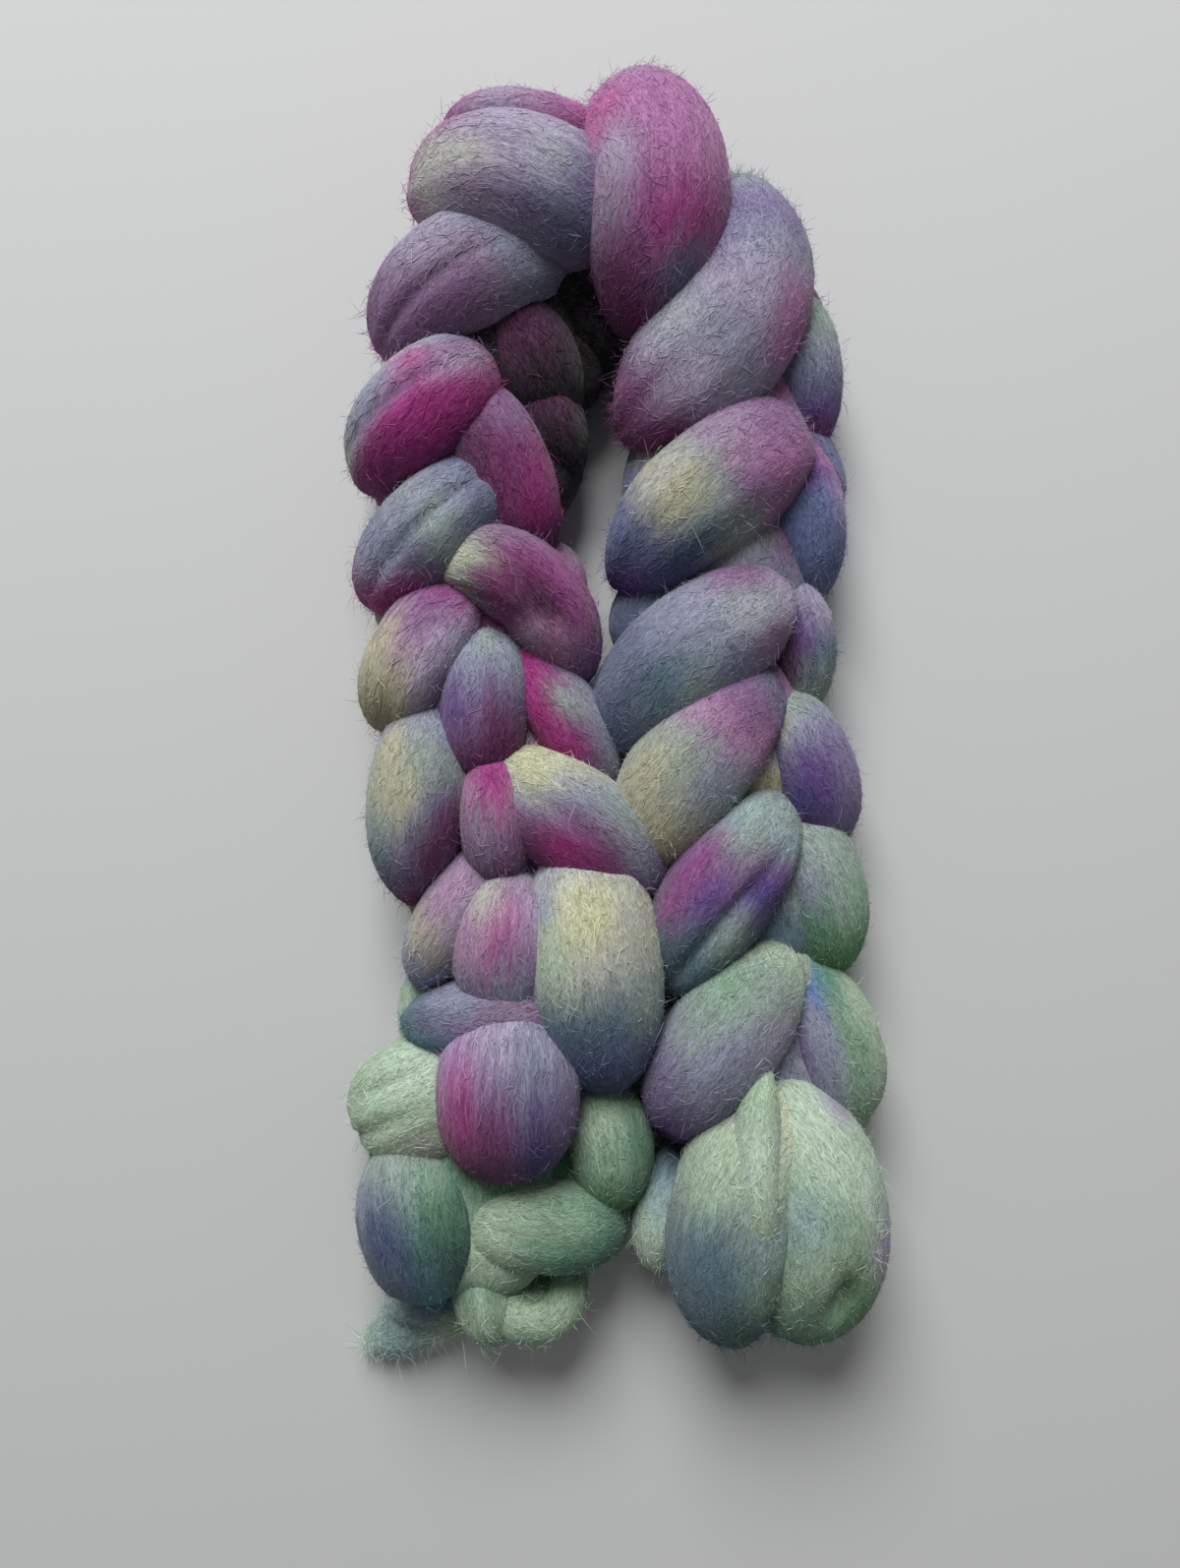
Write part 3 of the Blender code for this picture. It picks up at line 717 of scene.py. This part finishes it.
def mesh_from(name, points, face_sets):
    """A mesh from points in mm and sets of faces that each have one number of corners."""
    mesh = bpy.data.meshes.new(name)
    corners = np.concatenate([faces.ravel() for faces in face_sets]).astype(np.int32)
    sizes = np.concatenate([np.full(len(faces), faces.shape[1]) for faces in face_sets])
    mesh.vertices.add(len(points))
    mesh.loops.add(len(corners))
    mesh.polygons.add(len(sizes))
    mesh.vertices.foreach_set("co", (points * MM).astype(np.float32).ravel())
    mesh.loops.foreach_set("vertex_index", corners)
    mesh.polygons.foreach_set("loop_start", (np.cumsum(sizes) - sizes).astype(np.int32))
    mesh.update(calc_edges=True)
    mesh.shade_smooth()
    return mesh


def joined_skins(name, folds, coarse=1.0):
    """Several folds' skins as one mesh."""
    parts = [skin_mesh(fold, coarse) for fold in folds]
    offsets = np.cumsum([0] + [len(part["points"]) for part in parts])
    face_sets = [faces + offset for part, offset in zip(parts, offsets) for faces in part["faces"]]
    mesh = mesh_from(name, np.concatenate([part["points"] for part in parts]), face_sets)
    for layer in ("dye", "dye_on"):
        add_colours(mesh, layer, np.concatenate([part[layer] for part in parts]))
    combed = mesh.uv_layers.new(name="combed")
    places = np.concatenate([uv.reshape(-1, 2) for part in parts for uv in part["combed"]])
    combed.data.foreach_set("uv", places.astype(np.float32).ravel())
    return mesh


# %% [markdown]
# ## Nodes for the wool's surface
# A material is a small machine of nodes, and the same few are needed again and again, so each gets a
# helper. The combed look comes from streaks: noise that is stretched about ten times along the fibres.
# Single hairs come from thin lines: where a stretched noise passes through its middle value, it draws a
# line that wanders.

# %% Make helpers for nodes


def streaks(tree, combed, along, around, detail, turn, curl):
    """Noise with lumps `along` mm long and `around` mm wide, turned and curled a little."""
    scale = tree.nodes.new("ShaderNodeMapping")
    scale.vector_type = "TEXTURE"
    scale.inputs["Rotation"].default_value = (0, 0, math.radians(turn))
    scale.inputs["Scale"].default_value = (along, around, 1)
    field = tree.nodes.new("ShaderNodeTexNoise")
    field.noise_dimensions = "2D"
    field.inputs["Scale"].default_value = 1
    field.inputs["Detail"].default_value = detail
    field.inputs["Distortion"].default_value = curl
    tree.links.new(combed.outputs["UV"], scale.inputs["Vector"])
    tree.links.new(scale.outputs["Vector"], field.inputs["Vector"])
    return field.outputs["Fac"]


def hair_lines(tree, combed, along, around, turn, thin):
    """Thin wandering lines, as of single fibres."""
    off = tree.nodes.new("ShaderNodeMath")
    off.operation = "COMPARE"
    off.inputs[1].default_value = 0.5
    off.inputs[2].default_value = thin
    tree.links.new(streaks(tree, combed, along, around, 2, turn, 0.6), off.inputs[0])
    return off.outputs["Value"]


def remap(tree, value, low, high, to_low, to_high):
    """Stretches low..high of a value to another range."""
    node = tree.nodes.new("ShaderNodeMapRange")
    for socket, number in (("From Min", low), ("From Max", high), ("To Min", to_low), ("To Max", to_high)):
        node.inputs[socket].default_value = number
    tree.links.new(value, node.inputs["Value"])
    return node.outputs["Result"]


def sum_of(tree, first, second, share=1.0):
    """first + share * second."""
    node = tree.nodes.new("ShaderNodeMath")
    node.operation = "MULTIPLY_ADD"
    node.inputs[1].default_value = share
    tree.links.new(second, node.inputs[0])
    tree.links.new(first, node.inputs[2])
    return node.outputs["Value"]


def colour_layer(tree, name):
    node = tree.nodes.new("ShaderNodeAttribute")
    node.attribute_name = name
    return node.outputs["Color"]


def mix_colours(tree, kind, share, first, second):
    """Mixes two colours. The share is a number or the output of another node."""
    node = tree.nodes.new("ShaderNodeMix")
    node.data_type = "RGBA"
    node.blend_type = kind
    if isinstance(share, (int, float)):
        node.inputs["Factor"].default_value = share
    else:
        tree.links.new(share, node.inputs["Factor"])
    tree.links.new(first, node.inputs["A"])
    tree.links.new(second, node.inputs["B"])
    return node.outputs["Result"]


# %% [markdown]
# ## The wool's surface
# Wool is dull, with a soft glow at its edges where light catches the fuzz: a high roughness and some sheen.
# On the folds, wide streaks mix the two layers of dye, so that locks of one colour run into the next. Fine
# streaks darken what lies between the fibres: painted shade for the gaps. Over both go the hair lines, a
# painted highlight: the fold's own dye made lighter, with a little pale grey added, as a hair on top
# catches the light. Streaks and lines together raise a fine bump. A dark fold stays dark this way, which a
# plain pale highlight would spoil.

# %% Make the wool materials
WOOL_ROUGH, WOOL_SHINE, WOOL_SHEEN, SHEEN_ROUGH = 0.95, 0.15, 0.18, 0.5
LOCK_STREAKS, FIBRE_STREAKS = (24, 2.4, 3, 0, 0.3), (4.5, 0.45, 3, 0, 0.8)
HAIR_LINES = ((4, 1.0, 0, 0.05), (3.2, 1.2, -32, 0.045), (3.2, 1.2, 32, 0.045))
# painted shade between the fibres: how dark the gaps and the fibre tops are made
DEEP_SHADE, TOP_SHADE = 0.44, 0.9
# painted highlight of the hair lines and loose fibres: its pale grey, how much of that grey the hair lines
# get, and how much lighter their dye gets
HAIR_HIGHLIGHT, HAIR_HIGHLIGHT_MIX, HAIR_HIGHLIGHT_LIFT = (190, 188, 198), 0.08, 0.12
BUMP_STRENGTH, BUMP_HIGH, HAIR_HIGH = 0.5, 0.35, 0.35


def wool_shader(name):
    """A new material with the wool's roughness and sheen, and its shader."""
    material = bpy.data.materials.new(name)
    material.use_nodes = True
    shader = material.node_tree.nodes["Principled BSDF"]
    shader.inputs["Roughness"].default_value = WOOL_ROUGH
    shader.inputs["Specular IOR Level"].default_value = WOOL_SHINE
    shader.inputs["Sheen Weight"].default_value = WOOL_SHEEN
    shader.inputs["Sheen Roughness"].default_value = SHEEN_ROUGH
    return material, shader


def combed_wool():
    """The folds' finish: dye in locks, painted shade between the fibres, and lit hairs on top as a painted
    highlight.
    """
    material, shader = wool_shader("combed_wool")
    tree = material.node_tree
    combed = tree.nodes.new("ShaderNodeUVMap")
    combed.uv_map = "combed"
    locks = remap(tree, streaks(tree, combed, *LOCK_STREAKS), 0.35, 0.65, 0, 1)
    fibres = streaks(tree, combed, *FIBRE_STREAKS)
    hairs = hair_lines(tree, combed, *HAIR_LINES[0])
    for line in HAIR_LINES[1:]:
        hairs = sum_of(tree, hairs, hair_lines(tree, combed, *line))
    dyed = mix_colours(tree, "MIX", locks, colour_layer(tree, "dye"), colour_layer(tree, "dye_on"))
    # painted shade: fine streaks darken the dye between the fibres
    shade = remap(tree, fibres, 0.33, 0.67, DEEP_SHADE, TOP_SHADE)
    shaded = mix_colours(tree, "MULTIPLY", 1.0, dyed, shade)
    # painted highlight on the hair lines: the dye made lighter, with a little pale grey added
    highlight = tree.nodes.new("ShaderNodeRGB")
    highlight.outputs["Color"].default_value = (*linear(HAIR_HIGHLIGHT), 1)
    bright = mix_colours(tree, "ADD", HAIR_HIGHLIGHT_LIFT, dyed, dyed)
    lit = mix_colours(tree, "ADD", HAIR_HIGHLIGHT_MIX, bright, highlight.outputs["Color"])
    cover = remap(tree, hairs, 0, len(HAIR_LINES), 0, 1)
    tree.links.new(mix_colours(tree, "MIX", cover, shaded, lit), shader.inputs["Base Color"])
    raised = tree.nodes.new("ShaderNodeBump")
    raised.inputs["Strength"].default_value = BUMP_STRENGTH
    raised.inputs["Distance"].default_value = BUMP_HIGH * MM
    tree.links.new(sum_of(tree, fibres, hairs, HAIR_HIGH), raised.inputs["Height"])
    tree.links.new(raised.outputs["Normal"], shader.inputs["Normal"])
    return material


def loose_wool():
    """The single fibres' finish: their own dye with its painted highlight, with no bump, as each is a real
    shape.
    """
    material, shader = wool_shader("loose_wool")
    tree = material.node_tree
    tree.links.new(colour_layer(tree, "dye"), shader.inputs["Base Color"])
    return material


COMBED_WOOL, LOOSE_WOOL = combed_wool(), loose_wool()
for wool in (COMBED_WOOL, LOOSE_WOOL):
    print(wool.name, "has", len(wool.node_tree.nodes), "nodes")

# %% [markdown]
# ## The shape of a fibre
# What tells wool from clay is the fuzz. Blender has hair curves, but they are a line with a thickness and
# no mesh, so each fibre here is a real, closed sliver: a three-sided tube that is pointed at both ends and
# a tenth to a third of a millimetre wide. Thousands are made in one go, as arrays of points.

# %% Draw slivers


def fibre_points(line, out, wide, high):
    """Closed slivers along lines of points: the points and the triangles of one joined mesh."""
    count, steps = line.shape[:2]
    tangent = np.gradient(line, axis=1)
    aside = np.cross(tangent, out[:, None])
    aside /= np.linalg.norm(aside, axis=-1, keepdims=True) + 1e-9
    middle = line[:, 1:-1, None]
    aside = aside[:, 1:-1, None] * wide / 2
    section = np.array([[1.0, 0], [0, 1], [-1, 0]])
    rings = middle + aside * section[:, :1] + (out[:, None, None] * high * wide) * section[:, 1:]
    inner = steps - 2
    points = np.concatenate([rings.reshape(count, inner * 3, 3), line[:, :1], line[:, -1:]], 1)
    first, last = inner * 3, inner * 3 + 1
    faces = []
    for k in range(3):
        n = (k + 1) % 3
        faces.append((first, n, k))
        faces.append((last, (inner - 1) * 3 + k, (inner - 1) * 3 + n))
        for ring in range(inner - 1):
            low, high_ring = ring * 3, ring * 3 + 3
            faces.append((low + k, low + n, high_ring + n))
            faces.append((low + k, high_ring + n, high_ring + k))
    per = points.shape[1]
    faces = np.array(faces)[None] + (np.arange(count) * per)[:, None, None]
    return points.reshape(-1, 3), faces.reshape(-1, 3)


one_line, up = np.linspace((0, 0, 0), (3, 0, 0), 4)[None], np.array([(0, 0, 1.0)])
print("one sliver has", len(fibre_points(one_line, up, 0.2, 0.5)[1]), "triangles")

# %% [markdown]
# ## Where fibres grow
# A fibre that grows where two folds press together is never seen and only costs time. So random places on a
# fold are kept only where no other fold covers them. A ray could test that, but here each fold's loft is
# simply read backwards: from a point in space to its share along the fold and its distance from the middle
# line.

# %% Scatter places on the open wool
BURIED, TABLE_CLEAR = 0.93, 1.0


def inside(fold, point):
    """Whether points lie within a fold."""
    start, curl = math.radians(fold.heading), math.radians(fold.bend or 0.01) / fold.long
    x = point[..., 0] - (fold.x + SHIFT_X - math.sin(start) / curl)
    y = point[..., 1] - (fold.y + SHIFT_Y + math.cos(start) / curl)
    hand = math.copysign(1, curl)
    turned = np.arctan2(x * hand, -y * hand) - start
    share = (turned + math.pi) % (2 * math.pi) - math.pi
    share = share / curl / (fold.long / 2)
    across = 1 / curl - hand * np.hypot(x, y)
    dip = np.where(share < 0, fold.dip_in, fold.dip_out)
    rise = point[..., 2] - (fold.top - fold.deep / 2 - dip * share**2)
    size = plumpness(fold, share.clip(-1, 1)) / 2 + 1e-6
    aside, above = np.abs(across / fold.wide / size), np.abs(rise / fold.deep / size)
    return (np.abs(share) < 1) & (aside**SECTION_POWER + above**SECTION_POWER < BURIED)


def exposed(fold, point):
    """Points of one fold that no other fold covers."""
    free = point[..., 2] > TABLE_CLEAR
    for other in FOLDS + UNDER_FOLDS:
        reach = (other.long + other.wide) / 2 + (fold.long + fold.wide) / 2
        if other is fold or math.hypot(other.x - fold.x, other.y - fold.y) > reach:
            continue
        free &= ~inside(other, point)
    return free


def scatter(fold, count, low_angle):
    """Random places on the open part of a fold: share of its run and angle round it."""
    share = np.sin(rng.uniform(-1.45, 1.45, count))
    angle = rng.uniform(-low_angle, math.pi + low_angle, count)
    point, _ = smooth_skin(fold, share, angle)
    keep = exposed(fold, point)
    return share[keep], angle[keep]


print("the crown of", FOLDS[0].name, "is open:", exposed(FOLDS[0], skin(FOLDS[0], MIDDLE, CROWN)[0])[0])

# %% [markdown]
# ## Fibres that lie on the skin
# Most fibres lie down and follow the combing, but each has its own aim, a slight bow and often a hooked
# end. They are short, since a fibre of the real length dips in and out of the wool and shows in short
# stretches.

# %% Lay fibres down
LYING_POINTS, LYING_LOW = 4, 0.7
LYING_LONG, LYING_SPAN = (5, 0.8), (1.5, 11)  # spread of the lengths, and their limits in mm
AIM, BOW, HOOK, LIFT = 0.45, 0.35, 0.18, 0.18


def lying_fibres(fold, count):
    """Short curls that follow the combing, which way they face, and their dye."""
    start, around = (part[:, None] for part in scatter(fold, count, LYING_LOW))
    count = len(start)
    long = rng.gamma(*LYING_LONG, (count, 1)).clip(*LYING_SPAN)
    step = np.linspace(-0.5, 0.5, LYING_POINTS)
    half_round = (fold.wide + fold.deep) / 4
    aim = rng.standard_t(3, (count, 1)).clip(-4, 4) * AIM
    bow = rng.normal(0, BOW, (count, 1)) * (1 - (2 * step) ** 2)
    hook = rng.normal(0, HOOK, (count, 1)) * np.sin(6 * step)
    share = (start + step * np.cos(aim) * long / fold.long * 2).clip(-0.99, 0.99)
    angle = around + (np.sin(aim) * step + bow + hook) * long / half_round
    line, out = skin(fold, share, angle, rng.uniform(0.0, LIFT, (count, 1)))
    return line, out.mean(1), dye_at(fold, share, angle)


# %% [markdown]
# ## Fibres that stand off
# The other fibres leave the surface in a loose curl and make the soft halo round the braid. The wool's own
# end was pulled apart and not cut, so the tail and the folds beside it have more and longer ones: they are
# wispy.

# %% Let fibres stray
STRAY_POINTS, STRAY_LOW = 4, 1.0
STRAY_LONG, STRAY_SPAN = (2.2, 1.0), (0.8, 6.5)
STRAY_ALONG, STRAY_AROUND, STRAY_OUT = 0.9, 0.8, 0.7
SWAY, SECOND_SWAY, ABOVE_TABLE = 0.3, 0.2, 0.3
WISPY = {"tail": 1.65, "end_teal": 1.3, "end_curl": 1.2}


def stray_fibres(fold, count):
    """Fibres that leave the surface in a loose curl, which way they face, and their dye."""
    wispy = WISPY.get(fold.name, 1)
    start, angle = scatter(fold, int(count * wispy**2), STRAY_LOW)
    count = len(start)
    root, out = skin(fold, start, angle)
    _, along = middle_line(fold, start)
    around = np.cross(out, along)
    way = (
        along * rng.normal(0, STRAY_ALONG, (count, 1)) + around * rng.normal(0, STRAY_AROUND, (count, 1))
        + out * rng.uniform(0.0, STRAY_OUT, (count, 1))
    )
    way /= np.linalg.norm(way, axis=-1, keepdims=True)
    first_curl, second_curl = rng.normal(0, 1, (2, count, 1, 3))
    long = wispy * rng.gamma(*STRAY_LONG, (count, 1, 1)).clip(*STRAY_SPAN)
    step = np.linspace(0, 1, STRAY_POINTS)[None, :, None]
    sway = SWAY * first_curl * step**2 + SECOND_SWAY * second_curl * np.sin(5 * step) * step
    line = root[:, None] + long * (way[:, None] * step + sway)
    line[..., 2] = line[..., 2].clip(ABOVE_TABLE)
    colour = dye_at(fold, start, angle)
    return line, out, np.repeat(colour[:, None], STRAY_POINTS, 1)


# %% [markdown]
# ## A coat of fibres
# A round sliver that lies down would show a dark side, which real wool doesn't, as it lets light through.
# So those are flat: a low ridge on a wide base. The strays are rounder and finer. How many grow goes by the
# size of the fold. Each has its own brightness, at random and a little lighter than its fold on the whole,
# and a few are mixed towards a pale grey: a painted highlight, as a loose fibre catches the light.

# %% Make a coat of fibres
LYING_EACH, STRAY_EACH = 0.42, 0.47
FLAT, ROUND = 0.22, 0.8
FINE_WIDE, COARSE_WIDE, STRAY_FINE = 0.14, 0.34, 0.55
# the fibres' brightness, partly random tone and partly painted highlight; the most pale grey highlight a
# fibre gets, and how few get much of it
TONE_AND_HIGHLIGHT, MOST_HIGHLIGHT, FEW_HIGHLIGHTED = (0.8, 1.3), 0.14, 2.5


def joined_fibres(name, folds, thin=1.0):
    """All the fibres of several folds as one mesh."""
    kinds = ((lying_fibres, LYING_EACH, FLAT, 1), (stray_fibres, STRAY_EACH, ROUND, STRAY_FINE))
    points, faces, colours, made = [], [], [], 0
    for fold in folds:
        area = fold.long * (fold.wide + fold.deep) * math.pi / 4
        for grow, each, high, fine in kinds:
            line, out, colour = grow(fold, int(area * each * thin))
            # painted highlight: each fibre's dye is scaled by a random brightness a little above one on the
            # whole, and a few get pale grey added, as a lit fibre catches the light
            light = rng.uniform(*TONE_AND_HIGHLIGHT, (len(line), 1, 1))
            highlight = MOST_HIGHLIGHT * rng.uniform(0, 1, (len(line), 1, 1)) ** FEW_HIGHLIGHTED
            colour = colour * light + linear(HAIR_HIGHLIGHT) * highlight
            wide = fine * rng.uniform(FINE_WIDE, COARSE_WIDE, (len(line), 1, 1, 1))
            slivers, triangles = fibre_points(line, out, wide, high)
            inner = np.repeat(colour[:, 1:-1], 3, 1)
            points.append(slivers)
            faces.append(triangles + made)
            colours.append(np.concatenate([inner, colour[:, :1], colour[:, -1:]], 1).reshape(-1, 3))
            made += len(slivers)
    mesh = mesh_from(name, on_table(np.concatenate(points)), [np.concatenate(faces)])
    mesh.shade_flat()
    # the fibres' dye layer also carries their painted highlight
    add_colours(mesh, "dye", np.concatenate(colours))
    return mesh


# %% [markdown]
# ## Put the braid together
# One mesh for each fold would be fifty pieces and more to handle, and one mesh for all would be too heavy.
# So the folds are grouped into a few pieces: the crown, the two limbs in two stretches each, the ball at
# one end, the loose end at the other, and what lies underneath. Every piece has a coat of fibres.
# Underneath, the skins are coarser and the coat is thin, as little of it shows.

# %% Dress the braid
GROUPS = {
    "crown": ("crown_", "left_0"),
    "left_limb": ("left_1", "left_2", "left_3", "left_4", "left_5"),
    "left_foot": ("left_6", "left_7", "left_8"),
    "right_limb_upper": ("right_1", "right_2", "right_3"),
    "right_limb_lower": ("right_4", "right_5", "right_6"),
    "end_ball": ("ball_",),
    "loose_end": ("end_", "tail"),
}
UNDER_COARSE, UNDER_THIN = 1.7, 0.2


def dress(name, mesh, material):
    """Shows a mesh as a piece that stands for the solid."""
    mesh.materials.append(material)
    piece = bpy.data.objects.new(name, mesh)
    bpy.context.scene.collection.objects.link(piece)
    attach(piece, "root")
    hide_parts("roving_braid")
    print(name, len(mesh.loops) - 2 * len(mesh.polygons), "triangles")


def dress_group(name, folds, coarse=1.0, thin=1.0):
    """A group of folds and its coat of fibres."""
    dress(name, joined_skins(name, folds, coarse), COMBED_WOOL)
    dress(name + "_fuzz", joined_fibres(name + "_fuzz", folds, thin), LOOSE_WOOL)


for group, starts in GROUPS.items():
    dress_group(group, [fold for fold in FOLDS if fold.name.startswith(starts)])
dress_group("underside", UNDER_FOLDS, UNDER_COARSE, UNDER_THIN)

# %% [markdown]
# ## The floor
# The braid needs a plain surface to lie on and to throw its shadow on. A single big face does, in a pale
# grey that is dull enough to show no reflection.

# %% Lay the floor
FLOOR_COLOUR, FLOOR_HALF = (200, 201, 201), 1500
FLOOR_ROUGH, FLOOR_SHINE = 0.9, 0.1


def make_floor():
    corners = [(-1, -1, 0), (1, -1, 0), (1, 1, 0), (-1, 1, 0)]
    mesh = mesh_from("floor", FLOOR_HALF * np.array(corners, float), [np.array([[0, 1, 2, 3]])])
    material = bpy.data.materials.new("pale_floor")
    material.use_nodes = True
    shader = material.node_tree.nodes["Principled BSDF"]
    shader.inputs["Base Color"].default_value = (*linear(FLOOR_COLOUR), 1)
    shader.inputs["Roughness"].default_value = FLOOR_ROUGH
    shader.inputs["Specular IOR Level"].default_value = FLOOR_SHINE
    mesh.materials.append(material)
    floor = bpy.data.objects.new("floor", mesh)
    bpy.context.scene.collection.objects.link(floor)
    return floor


print("floor, in m:", make_floor().dimensions.to_tuple(1))

# %% [markdown]
# ## The light
# Soft light from one side shows the folds' roundness best. A big round lamp stands beyond the crown, as a
# window would, and points at the braid. A dim pale sky fills the shadows, so that the dyes still show in
# them.

# %% Light the braid
WINDOW_PLACE, WINDOW_SIZE, WINDOW_POWER = (-0.35, 1.7, 1.5), 1.3, 64
SKY_STRENGTH = 0.17


def make_window():
    lamp = bpy.data.lights.new("window", "AREA")
    lamp.shape = "DISK"
    lamp.size = WINDOW_SIZE
    lamp.energy = WINDOW_POWER
    holder = bpy.data.objects.new("window", lamp)
    holder.location = WINDOW_PLACE
    holder.rotation_euler = (-holder.location).to_track_quat("-Z", "Y").to_euler()
    bpy.context.scene.collection.objects.link(holder)


def make_sky():
    sky = bpy.data.worlds.new("sky")
    sky.use_nodes = True
    sky.node_tree.nodes["Background"].inputs["Color"].default_value = (1, 1, 1, 1)
    sky.node_tree.nodes["Background"].inputs["Strength"].default_value = SKY_STRENGTH
    bpy.context.scene.world = sky


make_window()
make_sky()
print("the window is", round(math.dist(WINDOW_PLACE, (0, 0, 0)), 2), "m away, the sky at", SKY_STRENGTH)

# %% [markdown]
# ## The camera
# The camera hangs straight above, 415 mm up, which is close enough for the tall folds to lean outwards. Its
# lens could be given in millimetres, but here it follows from two lengths in dots of the finished render:
# the render's height and the focal length.

# %% Set the camera
CAMERA_PLACE = (-8.8, -14.9, 415)
FRAME_HIGH, FOCAL_HIGH = 1594, 1198


def make_camera():
    lens = bpy.data.cameras.new("camera")
    lens.sensor_fit = "VERTICAL"
    lens.sensor_height = 36
    lens.lens = lens.sensor_height * FOCAL_HIGH / FRAME_HIGH
    lens.clip_start = 0.01
    camera = bpy.data.objects.new("camera", lens)
    camera.location = [part * MM for part in CAMERA_PLACE]
    bpy.context.scene.collection.objects.link(camera)
    bpy.context.scene.camera = camera
    return lens


print("lens:", round(make_camera().lens, 1), "mm")
bpy.context.scene.view_settings.view_transform = "Standard"
